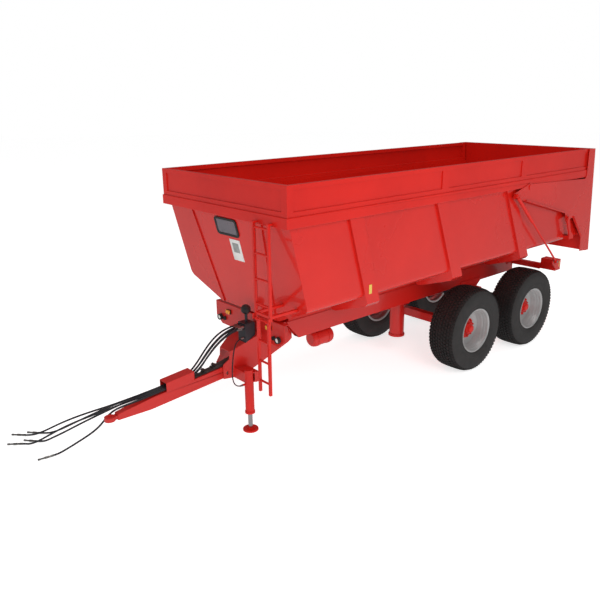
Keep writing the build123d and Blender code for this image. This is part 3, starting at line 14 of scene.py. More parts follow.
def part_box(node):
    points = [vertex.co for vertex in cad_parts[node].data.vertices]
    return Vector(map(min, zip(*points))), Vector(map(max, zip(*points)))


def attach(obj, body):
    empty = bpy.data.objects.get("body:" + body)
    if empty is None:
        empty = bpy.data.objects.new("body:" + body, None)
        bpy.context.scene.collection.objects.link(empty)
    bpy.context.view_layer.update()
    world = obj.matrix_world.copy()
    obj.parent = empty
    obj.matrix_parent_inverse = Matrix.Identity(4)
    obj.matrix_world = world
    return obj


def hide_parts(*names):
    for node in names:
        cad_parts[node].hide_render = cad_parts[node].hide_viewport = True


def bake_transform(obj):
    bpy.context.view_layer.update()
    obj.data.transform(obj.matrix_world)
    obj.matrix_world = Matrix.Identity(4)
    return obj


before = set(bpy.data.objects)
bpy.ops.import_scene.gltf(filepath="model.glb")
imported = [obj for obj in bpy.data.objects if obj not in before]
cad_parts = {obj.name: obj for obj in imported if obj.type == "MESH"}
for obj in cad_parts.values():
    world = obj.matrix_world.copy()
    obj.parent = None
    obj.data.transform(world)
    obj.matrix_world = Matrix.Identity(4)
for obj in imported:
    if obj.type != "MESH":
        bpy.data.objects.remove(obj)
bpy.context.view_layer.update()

bl_info = {
    "name": "Tipping grain trailer",
    "version": (1, 0, 0),
    "blender": (4, 5, 0),
    "location": "View3D > Sidebar > Trailer",
    "description": "Builds the visible pieces of a tandem tipping grain trailer",
    "category": "Object",
}

WHEELS = ("front_left", "front_right", "rear_left", "rear_right")

# Routes of the hoses, from the valve block to the couplings on the ground.
HOSE_ROUTES = {
    "hose_1": (
        (2.410, 0.060, 1.268), (2.500, 0.060, 1.268), (2.640, 0.040, 1.225), (2.755, 0.012, 1.130),
        (2.845, -0.018, 1.010), (2.930, -0.042, 0.890), (3.030, -0.050, 0.797), (3.180, -0.050, 0.764),
        (3.350, -0.051, 0.744), (3.500, -0.058, 0.727), (3.625, -0.095, 0.700), (3.735, -0.210, 0.630),
        (3.840, -0.380, 0.532), (3.950, -0.562, 0.420), (4.062, -0.740, 0.304), (4.170, -0.905, 0.192),
        (4.262, -1.058, 0.090), (4.337, -1.172, 0.030), (4.398, -1.250, 0.015), (4.446, -1.304, 0.015),
    ),
    "hose_2": (
        (2.410, 0.088, 1.236), (2.495, 0.088, 1.236), (2.625, 0.066, 1.190), (2.735, 0.038, 1.095),
        (2.825, 0.006, 0.980), (2.915, -0.016, 0.868), (3.020, -0.025, 0.790), (3.175, -0.025, 0.765),
        (3.345, -0.025, 0.743), (3.520, -0.032, 0.728), (3.660, -0.066, 0.712), (3.790, -0.165, 0.655),
        (3.920, -0.335, 0.560), (4.060, -0.545, 0.455), (4.195, -0.750, 0.345), (4.320, -0.945, 0.225),
        (4.425, -1.115, 0.110), (4.500, -1.240, 0.040), (4.555, -1.325, 0.015), (4.603, -1.375, 0.015),
    ),
    "hose_3": (
        (2.410, 0.116, 1.268), (2.505, 0.116, 1.268), (2.645, 0.092, 1.212), (2.760, 0.058, 1.108),
        (2.855, 0.026, 0.985), (2.935, 0.004, 0.872), (3.035, 0.000, 0.793), (3.185, 0.000, 0.763),
        (3.355, 0.000, 0.743), (3.535, -0.004, 0.728), (3.690, -0.028, 0.710), (3.830, -0.110, 0.658),
        (3.960, -0.250, 0.560), (4.090, -0.415, 0.445), (4.210, -0.580, 0.328), (4.320, -0.745, 0.208),
        (4.410, -0.900, 0.105), (4.462, -1.000, 0.040), (4.505, -1.078, 0.015), (4.548, -1.130, 0.015),
    ),
    "hose_4": (
        (2.410, 0.144, 1.236), (2.500, 0.144, 1.236), (2.630, 0.120, 1.178), (2.740, 0.086, 1.084),
        (2.835, 0.052, 0.968), (2.920, 0.030, 0.862), (3.025, 0.025, 0.788), (3.180, 0.025, 0.763),
        (3.350, 0.025, 0.743), (3.530, 0.024, 0.728), (3.700, 0.006, 0.712), (3.850, -0.062, 0.678),
        (3.985, -0.190, 0.598), (4.115, -0.345, 0.510), (4.245, -0.515, 0.410), (4.370, -0.690, 0.295),
        (4.475, -0.850, 0.175), (4.560, -0.985, 0.075), (4.620, -1.085, 0.022), (4.660, -1.150, 0.015),
        (4.705, -1.185, 0.015),
    ),
    "hose_5": (
        (2.410, 0.172, 1.268), (2.505, 0.172, 1.268), (2.640, 0.146, 1.204), (2.755, 0.108, 1.102),
        (2.850, 0.074, 0.980), (2.935, 0.054, 0.868), (3.035, 0.050, 0.790), (3.185, 0.050, 0.762),
        (3.355, 0.050, 0.743), (3.530, 0.049, 0.728), (3.690, 0.044, 0.710), (3.830, 0.024, 0.694),
        (3.930, 0.004, 0.678), (4.008, -0.034, 0.646), (4.064, -0.100, 0.566), (4.100, -0.170, 0.465),
        (4.150, -0.250, 0.370), (4.220, -0.335, 0.285), (4.290, -0.425, 0.205), (4.338, -0.510, 0.135),
        (4.378, -0.584, 0.077), (4.421, -0.632, 0.035), (4.475, -0.657, 0.015), (4.535, -0.664, 0.015),
    ),
}
JACK_HOSE = (
    (2.400, 0.175, 1.130), (2.456, 0.175, 1.130), (2.530, 0.196, 1.088), (2.585, 0.230, 1.000),
    (2.625, 0.262, 0.905), (2.655, 0.288, 0.815), (2.668, 0.306, 0.730), (2.655, 0.322, 0.655),
    (2.603, 0.330, 0.610), (2.549, 0.330, 0.610),
)
FRONT_LEAN = 0.2463  # the front wall's angle from upright, in radians
BULKHEAD_FACE = 2.183  # front of the bulkhead's lamp plates
RIB_FACE = 1.195  # outside of the side ribs
BEAM_END = 1.2065  # outside of the lamp beam's ends
STUD_CIRCLE = 0.125  # radius of the wheel nuts' circle
NUT_SEAT = 0.0265  # wheel nuts' seat, outwards from the tyre's middle
BLOCK_SHARE = 0.74  # part of the tread's pitch and spacing that a block fills
BLOCK_ROOT = 0.006  # tread blocks' depth inside the carcass
BLOCK_SKEW = 18.0  # degrees, alternating from row to row
TREAD_HALF_WIDTH = 0.182  # middle of the outermost row of blocks
CASING_TREAD = 0.577  # radius past which the carcass has the tread's rubber

# The camera: place, then yaw, downward pitch and roll in degrees.
CAMERA_PLACE = (6.6166, 6.0966, 3.8724)
CAMERA_TURN = (228.954, 17.254, -0.606)
CAMERA_LENS = 38.636
CAMERA_SHIFT = (-0.00275, -0.0033)
FLOOR_RADIUS = 70.0

# Brightness of the paper floor and of the room, as the camera and as glossy surfaces see them.
PAPER_GLOW = (0.72, 0.20)
PAPER_WHITE = (0.86, 0.24)
ROOM_LIGHT = 0.34
ROOM_MIRRORED = 0.10
ROOM_SEEN = 1.0


# ---- settings that a user would change
class TRAILER_PG_sizes(bpy.types.PropertyGroup):
    hose_diameter: FloatProperty(
        name="Hose diameter",
        description="Outside diameter of the hydraulic hoses",
        default=0.022,
        min=0.01,
        max=0.04,
        unit="LENGTH",
    )
    thin_hose_diameter: FloatProperty(
        name="Jack hose diameter",
        description="Outside diameter of the hose to the parking jack",
        default=0.014,
        min=0.006,
        max=0.02,
        unit="LENGTH",
    )
    tread_rows: IntProperty(
        name="Tread rows",
        description="Rows of blocks across each tyre, always an odd number",
        default=9,
        min=3,
        max=11,
    )
    tread_pitches: IntProperty(
        name="Tread pitches",
        description="Blocks around each tyre in one row",
        default=72,
        min=24,
        max=120,
    )
    tread_depth: FloatProperty(
        name="Tread depth",
        description="Height of the tread blocks over the carcass",
        default=0.011,
        min=0.002,
        max=0.03,
        unit="LENGTH",
    )
    wheel_nuts: IntProperty(
        name="Wheel nuts",
        description="Nuts on each wheel",
        default=10,
        min=4,
        max=16,
    )
    folded_edge: FloatProperty(
        name="Folded edge",
        description="Rounding of the folded and cut sheet edges",
        default=0.006,
        min=0.0,
        max=0.015,
        unit="LENGTH",
    )
    cast_edge: FloatProperty(
        name="Cast edge",
        description="Rounding of machined and cast edges",
        default=0.003,
        min=0.0,
        max=0.01,
        unit="LENGTH",
    )


def colour_property(name, description, default):
    return FloatVectorProperty(
        name=name,
        description=description,
        default=default,
        size=4,
        min=0.0,
        max=1.0,
        subtype="COLOR",
    )


class TRAILER_PG_colours(bpy.types.PropertyGroup):
    body_red: colour_property("Body red", "Gloss enamel of the body", (0.66, 0.012, 0.006, 1))
    frame_red: colour_property("Frame red", "Enamel of the chassis and drawbar", (0.58, 0.009, 0.005, 1))
    shade_red: colour_property("Shade red", "Deeper tone where the enamel lies thick", (0.56, 0.008, 0.004, 1))
    rubber: colour_property("Tyre rubber", "Sidewall rubber", (0.034, 0.032, 0.032, 1))
    tread: colour_property("Tread rubber", "Rubber of the tread and its grooves", (0.016, 0.014, 0.014, 1))
    rim: colour_property("Rim silver", "Lacquered wheel rims", (0.70, 0.70, 0.70, 1))
    amber: colour_property("Amber", "Lenses of the marker lamps", (0.95, 0.42, 0.05, 1))


# ---- materials
def group_socket(group, name, kind, direction, default=None):
    socket = group.interface.new_socket(name=name, in_out=direction, socket_type=kind)
    if default is not None:
        socket.default_value = default


def noise_node(tree, coordinates, scale, detail, roughness=0.5):
    node = tree.nodes.new("ShaderNodeTexNoise")
    node.inputs["Detail"].default_value = detail
    node.inputs["Roughness"].default_value = roughness
    tree.links.new(coordinates, node.inputs["Vector"])
    if isinstance(scale, (int, float)):
        node.inputs["Scale"].default_value = scale
    else:
        tree.links.new(scale, node.inputs["Scale"])
    return node


def surface_grain_group():
    """Fine grain and slow clouding that every finish shares."""
    group = bpy.data.node_groups.new("surface_grain", "ShaderNodeTree")
    group_socket(group, "Fine Scale", "NodeSocketFloat", "INPUT", 400.0)
    group_socket(group, "Cloud Scale", "NodeSocketFloat", "INPUT", 2.0)
    group_socket(group, "Fine", "NodeSocketFloat", "OUTPUT")
    group_socket(group, "Cloud", "NodeSocketFloat", "OUTPUT")
    nodes, links = group.nodes, group.links
    given, out = nodes.new("NodeGroupInput"), nodes.new("NodeGroupOutput")
    place = nodes.new("ShaderNodeTexCoord")
    fine = noise_node(group, place.outputs["Object"], given.outputs["Fine Scale"], 3.0)
    cloud = noise_node(group, place.outputs["Object"], given.outputs["Cloud Scale"], 4.0, 0.6)
    spread = nodes.new("ShaderNodeMapRange")
    spread.inputs["From Min"].default_value = 0.3
    spread.inputs["From Max"].default_value = 0.7
    links.new(cloud.outputs["Fac"], spread.inputs["Value"])
    links.new(fine.outputs["Fac"], out.inputs["Fine"])
    links.new(spread.outputs["Result"], out.inputs["Cloud"])


def settled_dust_group():
    """Dust mask, in patches, stronger on faces that look up."""
    group = bpy.data.node_groups.new("settled_dust", "ShaderNodeTree")
    group_socket(group, "Amount", "NodeSocketFloat", "INPUT", 0.1)
    group_socket(group, "Scale", "NodeSocketFloat", "INPUT", 14.0)
    group_socket(group, "Mask", "NodeSocketFloat", "OUTPUT")
    nodes, links = group.nodes, group.links
    given, out = nodes.new("NodeGroupInput"), nodes.new("NodeGroupOutput")
    place = nodes.new("ShaderNodeTexCoord")
    patches = noise_node(group, place.outputs["Object"], given.outputs["Scale"], 6.0, 0.65)
    shape = nodes.new("ShaderNodeMapRange")
    shape.inputs["From Min"].default_value = 0.30
    shape.inputs["From Max"].default_value = 0.90
    links.new(patches.outputs["Fac"], shape.inputs["Value"])
    geometry = nodes.new("ShaderNodeNewGeometry")
    split = nodes.new("ShaderNodeSeparateXYZ")
    links.new(geometry.outputs["Normal"], split.inputs["Vector"])
    upward = nodes.new("ShaderNodeMapRange")
    upward.inputs["From Min"].default_value = -0.2
    upward.inputs["To Min"].default_value = 0.25
    links.new(split.outputs["Z"], upward.inputs["Value"])
    settled = nodes.new("ShaderNodeMath")
    settled.operation = "MULTIPLY"
    links.new(shape.outputs["Result"], settled.inputs[0])
    links.new(upward.outputs["Result"], settled.inputs[1])
    scaled = nodes.new("ShaderNodeMath")
    scaled.operation = "MULTIPLY"
    scaled.use_clamp = True
    links.new(settled.outputs["Value"], scaled.inputs[0])
    links.new(given.outputs["Amount"], scaled.inputs[1])
    links.new(scaled.outputs["Value"], out.inputs["Mask"])


def brushed_group():
    """Long fine scratches along one direction of bare metal."""
    group = bpy.data.node_groups.new("brushed_lines", "ShaderNodeTree")
    group_socket(group, "Scale", "NodeSocketFloat", "INPUT", 60.0)
    group_socket(group, "Height", "NodeSocketFloat", "OUTPUT")
    nodes, links = group.nodes, group.links
    given, out = nodes.new("NodeGroupInput"), nodes.new("NodeGroupOutput")
    place = nodes.new("ShaderNodeTexCoord")
    stretch = nodes.new("ShaderNodeMapping")
    stretch.inputs["Scale"].default_value = (1.0, 12.0, 12.0)
    links.new(place.outputs["Object"], stretch.inputs["Vector"])
    lines = noise_node(group, stretch.outputs["Vector"], given.outputs["Scale"], 4.0, 0.7)
    links.new(lines.outputs["Fac"], out.inputs["Height"])


def group_node(tree, group, **values):
    node = tree.nodes.new("ShaderNodeGroup")
    node.node_tree = bpy.data.node_groups[group]
    for name, value in values.items():
        node.inputs[name.replace("_", " ").title()].default_value = value
    return node


def mix_colours(tree, factor, first, second):
    """Colour mix; each colour is a value or an output to link."""
    mix = tree.nodes.new("ShaderNodeMix")
    mix.data_type = "RGBA"
    tree.links.new(factor, mix.inputs["Factor"])
    for socket, colour in ((mix.inputs[6], first), (mix.inputs[7], second)):
        if isinstance(colour, bpy.types.NodeSocket):
            tree.links.new(colour, socket)
        else:
            socket.default_value = colour
    return mix.outputs[2]


def ranged(tree, value, low, high):
    """A 0 to 1 mask spread between two values."""
    node = tree.nodes.new("ShaderNodeMapRange")
    node.inputs["To Min"].default_value = low
    node.inputs["To Max"].default_value = high
    tree.links.new(value, node.inputs["Value"])
    return node.outputs["Result"]


def finish_material(
    name,
    base,
    shade,
    dust=(0.35, 0.30, 0.26, 1.0),
    dust_amount=0.1,
    roughness=(0.3, 0.4),
    fine_scale=400.0,
    cloud_scale=2.0,
    bump=0.05,
    bump_distance=0.0006,
    brushed=False,
    sockets=None,
):
    """Principled finish with clouded colour, dust, uneven roughness and a fine relief."""
    material = bpy.data.materials.new(name)
    material.use_nodes = True
    tree = material.node_tree
    shader = tree.nodes["Principled BSDF"]
    grain = group_node(tree, "surface_grain", fine_scale=fine_scale, cloud_scale=cloud_scale)
    dusty = group_node(tree, "settled_dust", amount=dust_amount)
    clouded = mix_colours(tree, grain.outputs["Cloud"], base, shade)
    coloured = mix_colours(tree, dusty.outputs["Mask"], clouded, dust)
    tree.links.new(coloured, shader.inputs["Base Color"])
    tree.links.new(ranged(tree, grain.outputs["Cloud"], *roughness), shader.inputs["Roughness"])
    relief = tree.nodes.new("ShaderNodeBump")
    relief.inputs["Strength"].default_value = bump
    relief.inputs["Distance"].default_value = bump_distance
    height = grain.outputs["Fine"]
    if brushed:
        height = group_node(tree, "brushed_lines").outputs["Height"]
    tree.links.new(height, relief.inputs["Height"])
    tree.links.new(relief.outputs["Normal"], shader.inputs["Normal"])
    for socket, value in (sockets or {}).items():
        shader.inputs[socket].default_value = value


def make_materials(colours):
    """Every finish of the trailer, by name."""
    surface_grain_group()
    settled_dust_group()
    brushed_group()
    shade = tuple(colours.shade_red)
    gloss = {"Coat Roughness": 0.03, "IOR": 1.5}
    silver = tuple(colours.rim)
    amber = tuple(colours.amber)
    finish_material("tub_enamel", tuple(colours.body_red), shade, dust_amount=0.02,
                    roughness=(0.24, 0.30), fine_scale=300.0, cloud_scale=0.7, bump=0.015,
                    sockets={**gloss, "Coat Weight": 0.85, "Specular IOR Level": 0.35})
    finish_material("body_enamel", tuple(colours.body_red), shade, dust_amount=0.02,
                    roughness=(0.30, 0.36), fine_scale=300.0, cloud_scale=0.9, bump=0.02,
                    sockets={**gloss, "Coat Weight": 0.35, "Specular IOR Level": 0.3})
    finish_material("frame_enamel", tuple(colours.frame_red), shade, dust_amount=0.05,
                    roughness=(0.30, 0.40), fine_scale=260.0, cloud_scale=1.6, bump=0.04,
                    sockets={**gloss, "Coat Weight": 0.6, "Coat Roughness": 0.06,
                             "Specular IOR Level": 0.5})
    finish_material("dark_steel", (0.035, 0.036, 0.040, 1), (0.020, 0.020, 0.022, 1), dust_amount=0.2,
                    roughness=(0.38, 0.52), fine_scale=180.0, cloud_scale=9.0, bump=0.2,
                    sockets={"Metallic": 0.35})
    finish_material("spring_steel", (0.060, 0.052, 0.050, 1), (0.030, 0.024, 0.023, 1), dust_amount=0.3,
                    roughness=(0.45, 0.62), fine_scale=150.0, cloud_scale=12.0, bump=0.3,
                    sockets={"Metallic": 0.3})
    finish_material("rim_lacquer", silver, tuple(0.86 * c for c in silver[:3]) + (1,), dust_amount=0.05,
                    roughness=(0.34, 0.42), fine_scale=420.0, cloud_scale=5.0, bump=0.03,
                    sockets={"Metallic": 0.7, "Coat Weight": 0.3, "Coat Roughness": 0.15})
    finish_material("tyre_sidewall", tuple(colours.rubber), (0.028, 0.027, 0.027, 1), dust_amount=0.06,
                    roughness=(0.46, 0.54), fine_scale=320.0, cloud_scale=6.0, bump=0.10,
                    sockets={"Specular IOR Level": 0.3})
    finish_material("tyre_tread", tuple(colours.tread), (0.013, 0.012, 0.012, 1), dust_amount=0.05,
                    roughness=(0.60, 0.72), fine_scale=220.0, cloud_scale=9.0, bump=0.2)
    finish_material("chrome", (0.86, 0.86, 0.87, 1), (0.80, 0.80, 0.82, 1), dust_amount=0.03,
                    roughness=(0.06, 0.12), fine_scale=500.0, cloud_scale=20.0, bump=0.02,
                    sockets={"Metallic": 1.0})
    finish_material("bright_steel", (0.58, 0.57, 0.55, 1), (0.46, 0.45, 0.43, 1), dust_amount=0.08,
                    roughness=(0.25, 0.38), cloud_scale=30.0, bump=0.08, brushed=True,
                    sockets={"Metallic": 1.0})
    finish_material("hose_rubber", (0.022, 0.022, 0.024, 1), (0.014, 0.014, 0.015, 1), dust_amount=0.15,
                    roughness=(0.36, 0.48), fine_scale=600.0, cloud_scale=14.0, bump=0.12)
    finish_material("seal_rubber", (0.030, 0.029, 0.031, 1), (0.018, 0.018, 0.019, 1), dust_amount=0.15,
                    roughness=(0.5, 0.62), fine_scale=500.0, cloud_scale=20.0, bump=0.15)
    finish_material("black_plastic", (0.018, 0.018, 0.020, 1), (0.012, 0.012, 0.013, 1), dust_amount=0.12,
                    roughness=(0.30, 0.42), fine_scale=700.0, cloud_scale=18.0, bump=0.1)
    lens = {"Coat Weight": 1.0, "Coat Roughness": 0.02, "Subsurface Weight": 0.15, "Subsurface Scale": 0.01}
    finish_material("amber_lens", amber, tuple(0.8 * c for c in amber[:3]) + (1,), dust_amount=0.03,
                    roughness=(0.12, 0.2), fine_scale=300.0, cloud_scale=40.0, bump=0.1, sockets=lens)
    finish_material("white_lens", (0.86, 0.86, 0.84, 1), (0.72, 0.72, 0.72, 1), dust_amount=0.03,
                    roughness=(0.10, 0.18), fine_scale=300.0, cloud_scale=40.0, bump=0.1, sockets=lens)
    finish_material("red_lens", (0.48, 0.010, 0.010, 1), (0.36, 0.006, 0.006, 1), dust_amount=0.03,
                    roughness=(0.10, 0.18), fine_scale=300.0, cloud_scale=40.0, bump=0.1, sockets=lens)
    finish_material("reflector_yellow", (0.85, 0.60, 0.10, 1), (0.74, 0.50, 0.08, 1), dust_amount=0.03,
                    roughness=(0.2, 0.3), fine_scale=900.0, cloud_scale=60.0, bump=0.2, sockets=lens)
    finish_material("white_enamel", (0.80, 0.79, 0.77, 1), (0.72, 0.71, 0.69, 1), dust_amount=0.06,
                    roughness=(0.25, 0.35), fine_scale=400.0, cloud_scale=12.0, bump=0.05,
                    sockets={"Coat Weight": 0.5})
    finish_material("grey_print", (0.22, 0.23, 0.23, 1), (0.34, 0.35, 0.34, 1), dust_amount=0.06,
                    roughness=(0.3, 0.4), fine_scale=400.0, cloud_scale=22.0, bump=0.05)
    finish_material("tinted_glass", (0.20, 0.17, 0.20, 1), (0.16, 0.14, 0.17, 1), dust_amount=0.06,
                    roughness=(0.05, 0.09), fine_scale=300.0, cloud_scale=6.0, bump=0.01,
                    sockets={"Transmission Weight": 0.35, "Coat Weight": 1.0, "Coat Roughness": 0.01})


# ---- mesh helpers
def put_in_scene(name, mesh):
    piece = bpy.data.objects.new(name, mesh)
    bpy.context.scene.collection.objects.link(piece)
    return piece


def finish_piece(bm, name, materials, body, replaces=(), crease=35.0):
    """Close the bmesh into a piece that rides on a body and takes the given finishes."""
    bmesh.ops.remove_doubles(bm, verts=bm.verts[:], dist=1e-5)
    bmesh.ops.recalc_face_normals(bm, faces=bm.faces[:])
    mesh = bpy.data.meshes.new(name)
    bm.to_mesh(mesh)
    bm.free()
    for material in materials if isinstance(materials, (list, tuple)) else [materials]:
        mesh.materials.append(bpy.data.materials[material])
    mesh.shade_smooth()
    mesh.set_sharp_from_angle(angle=radians(crease))
    piece = put_in_scene(name, mesh)
    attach(piece, body)
    if replaces:
        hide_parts(*replaces)
    return piece


def axis_matrix(start, direction):
    """Matrix that takes local Z to a direction and the origin to a place."""
    turn = Vector(direction).to_track_quat("Z", "Y").to_matrix().to_4x4()
    return Matrix.Translation(Vector(start)) @ turn


def turned(bm, profile, start, direction, steps=32, material=0):
    """Spin (distance along, radius) points about an axis; a closed profile gives a ring."""
    matrix = axis_matrix(start, direction)
    points = [bm.verts.new(matrix @ Vector((radius, 0, along))) for along, radius in profile]
    edges = [bm.edges.new(pair) for pair in zip(points, points[1:])]
    if profile[0][1] > 1e-6 and profile[-1][1] > 1e-6:
        edges.append(bm.edges.new((points[-1], points[0])))
    before = set(bm.faces)
    bmesh.ops.spin(
        bm,
        geom=points + edges,
        cent=Vector(start),
        axis=Vector(direction).normalized(),
        dvec=(0, 0, 0),
        angle=2 * pi,
        steps=steps,
        use_merge=True,
    )
    for face in set(bm.faces) - before:
        face.material_index = material


def round_edges(bm, edges, width, segments=2):
    bmesh.ops.bevel(
        bm,
        geom=list(edges),
        offset=width,
        segments=segments,
        affect="EDGES",
        profile=0.5,
        material=-1,
    )


def bar(bm, start, end, radius, segments=16, rounding=0.0, tip_radius=None, material=0):
    """Round or hexagonal bar between two points, with rounded ends if asked."""
    line = Vector(end) - Vector(start)
    matrix = axis_matrix(Vector(start) + line / 2, line)
    made = bmesh.ops.create_cone(
        bm,
        cap_ends=True,
        segments=segments,
        radius1=radius,
        radius2=radius if tip_radius is None else tip_radius,
        depth=line.length,
        matrix=matrix,
    )
    faces = {face for vert in made["verts"] for face in vert.link_faces}
    for face in faces:
        face.material_index = material
    if rounding:
        rims = {edge for face in faces if len(face.verts) == segments for edge in face.edges}
        round_edges(bm, rims, rounding)


def slab(bm, centre, size, rounding=0.0, turn=None, segments=2, material=0):
    """Rectangular plate or block with rounded edges."""
    place = Matrix.Translation(Vector(centre)) @ (turn or Matrix.Identity(4))
    matrix = place @ Matrix.Diagonal((*size, 1))
    made = bmesh.ops.create_cube(bm, size=1.0, matrix=matrix)
    faces = {face for vert in made["verts"] for face in vert.link_faces}
    for face in faces:
        face.material_index = material
    if rounding:
        edges = {edge for face in faces for edge in face.edges}
        round_edges(bm, edges, rounding, segments)


def bolt(bm, seat, direction, across, material=0):
    """Washer, hexagon head and domed end of one bolt."""
    out = Vector(direction).normalized()
    foot = Vector(seat) - out * 0.001
    bar(bm, foot, foot + out * across * 0.18, across * 0.72, 16, material=material)
    bar(bm, foot, foot + out * across * 0.72, across * 0.56, 6, across * 0.05, material=material)
    bar(bm, foot, foot + out * across * 0.95, across * 0.28, 10, across * 0.06, material=material)


def both(value):
    """A value on the left and its mirror on the right."""
    return (value, -value)


# ---- hoses
def route_curve(name, points):
    """Smooth curve steered by a route's points."""
    curve = bpy.data.curves.new(name, "CURVE")
    curve.dimensions = "3D"
    curve.resolution_u = 10
    spline = curve.splines.new("NURBS")
    spline.points.add(len(points) - 1)
    for point, place in zip(spline.points, points):
        point.co = (*place, 1.0)
    spline.order_u = 3
    spline.use_endpoint_u = True
    return curve


def hose_mesh(name, points, diameter):
    """Tube along a route, and the line of points that it follows."""
    curve = route_curve(name + "_line", points)
    guide = bpy.data.objects.new(name + "_line", curve)
    bpy.context.scene.collection.objects.link(guide)
    bpy.context.view_layer.update()
    line = bpy.data.meshes.new_from_object(guide)
    path = [tuple(vert.co) for vert in line.vertices]
    bpy.data.meshes.remove(line)
    curve.bevel_depth = diameter / 2
    curve.bevel_resolution = 4
    curve.use_fill_caps = True
    bpy.context.view_layer.update()
    scene_now = bpy.context.evaluated_depsgraph_get()
    mesh = bpy.data.meshes.new_from_object(guide.evaluated_get(scene_now))
    mesh.name = name
    bpy.data.objects.remove(guide)
    bpy.data.curves.remove(curve)
    mesh.materials.clear()
    mesh.materials.append(bpy.data.materials["hose_rubber"])
    mesh.shade_smooth()
    return mesh, path


def coupling(name, points):
    """Crimped ferrule, hexagon, sleeve and nose of one quick coupling."""
    end = Vector(points[-1])
    out = (end - Vector(points[-2])).normalized()
    bm = bmesh.new()
    ferrule = [(-0.040, 0.0), (-0.040, 0.0118), (-0.036, 0.0132)]
    for ring in range(4):
        low = -0.034 + 0.009 * ring
        ferrule += [(low, 0.0136), (low + 0.005, 0.0136), (low + 0.006, 0.0127), (low + 0.0085, 0.0127)]
    ferrule += [(0.004, 0.0124), (0.004, 0.0)]
    turned(bm, ferrule, end, out, 20)
    bar(bm, end + out * 0.002, end + out * 0.022, 0.0140, 6, 0.0008)
    sleeve = [(0.020, 0.0), (0.020, 0.0118), (0.026, 0.0138)]
    for ring in range(5):
        low = 0.028 + 0.008 * ring
        sleeve += [(low, 0.0141), (low + 0.005, 0.0141), (low + 0.006, 0.0132), (low + 0.0075, 0.0132)]
    sleeve += [(0.070, 0.0140), (0.073, 0.0100), (0.104, 0.0100), (0.107, 0.0085), (0.112, 0.0085)]
    sleeve += [(0.114, 0.0120), (0.138, 0.0120), (0.142, 0.0100), (0.142, 0.0)]
    turned(bm, sleeve, end, out, 24)
    return finish_piece(bm, name, "bright_steel", "drawbar")


class TRAILER_OT_hoses(bpy.types.Operator):
    """Build the five hydraulic hoses to the tractor, their couplings and the jack's hose"""

    bl_idname = "trailer.hoses"
    bl_label = "Hoses"

    def execute(self, context):
        sizes = context.scene.trailer_sizes
        for number, (name, points) in enumerate(HOSE_ROUTES.items(), start=1):
            mesh, path = hose_mesh(f"line_{number}", points, sizes.hose_diameter)
            hose = put_in_scene(f"line_{number}", mesh)
            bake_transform(hose)
            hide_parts(name)
            end_piece = coupling(f"coupling_{number}", points)
            if number == 1:
                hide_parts("hose_couplings")
        mesh, path = hose_mesh("jack_line", JACK_HOSE, sizes.thin_hose_diameter)
        jack_line = put_in_scene("jack_line", mesh)
        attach(jack_line, "chassis")
        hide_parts("hose_jack")
        return {"FINISHED"}


class TRAILER_OT_hose_fittings(bpy.types.Operator):
    """Build the crimped ferrules at the valve block and the banjo on the jack"""

    bl_idname = "trailer.hose_fittings"
    bl_label = "Hose fittings"

    def execute(self, context):
        bm = bmesh.new()
        for points in HOSE_ROUTES.values():
            start = Vector(points[0])
            ferrule = [(0.0, 0.0), (0.0, 0.0165), (0.006, 0.0165), (0.008, 0.0150)]
            for ring in range(4):
                low = 0.010 + 0.008 * ring
                ferrule += [(low, 0.0150), (low + 0.004, 0.0150), (low + 0.005, 0.0138), (low + 0.0075, 0.0138)]
            ferrule += [(0.050, 0.0125), (0.060, 0.0114), (0.060, 0.0)]
            turned(bm, ferrule, start, (1, 0, 0), 20)
            bar(bm, start - Vector((0.020, 0, 0)), start + Vector((0.002, 0, 0)), 0.0185, 6, 0.001)
        low_end, above = Vector(JACK_HOSE[-1]), Vector(JACK_HOSE[-2])
        out = (above - low_end).normalized()
        crimp = [(-0.004, 0.0), (-0.004, 0.0105), (0.026, 0.0105), (0.034, 0.0076), (0.034, 0.0)]
        turned(bm, crimp, low_end, out, 18)
        bar(bm, low_end - out * 0.014, low_end + out * 0.002, 0.0145, 6, 0.001)
        top, below = Vector(JACK_HOSE[0]), Vector(JACK_HOSE[1])
        out = (below - top).normalized()
        crimp = [(-0.006, 0.0), (-0.006, 0.0110), (0.024, 0.0105), (0.034, 0.0076), (0.034, 0.0)]
        turned(bm, crimp, top, out, 18)
        finish_piece(bm, "hose_ferrules", "bright_steel", "chassis")
        return {"FINISHED"}


# ---- wheels
def wheel_place(wheel):
    """Centre and outward direction of a wheel."""
    low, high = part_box("tyre_" + wheel)
    centre = (low + high) / 2
    return centre, Vector((0, 1 if centre.y > 0 else -1, 0))


def tread_radius(across):
    """Top of the tread blocks at a distance from the tyre's middle."""
    crown = 0.62 * max(0.0, abs(across) - 0.045) ** 2
    shoulder = 0.010 * max(0.0, abs(across) - 0.14) / 0.04
    return 0.6215 - crown - shoulder


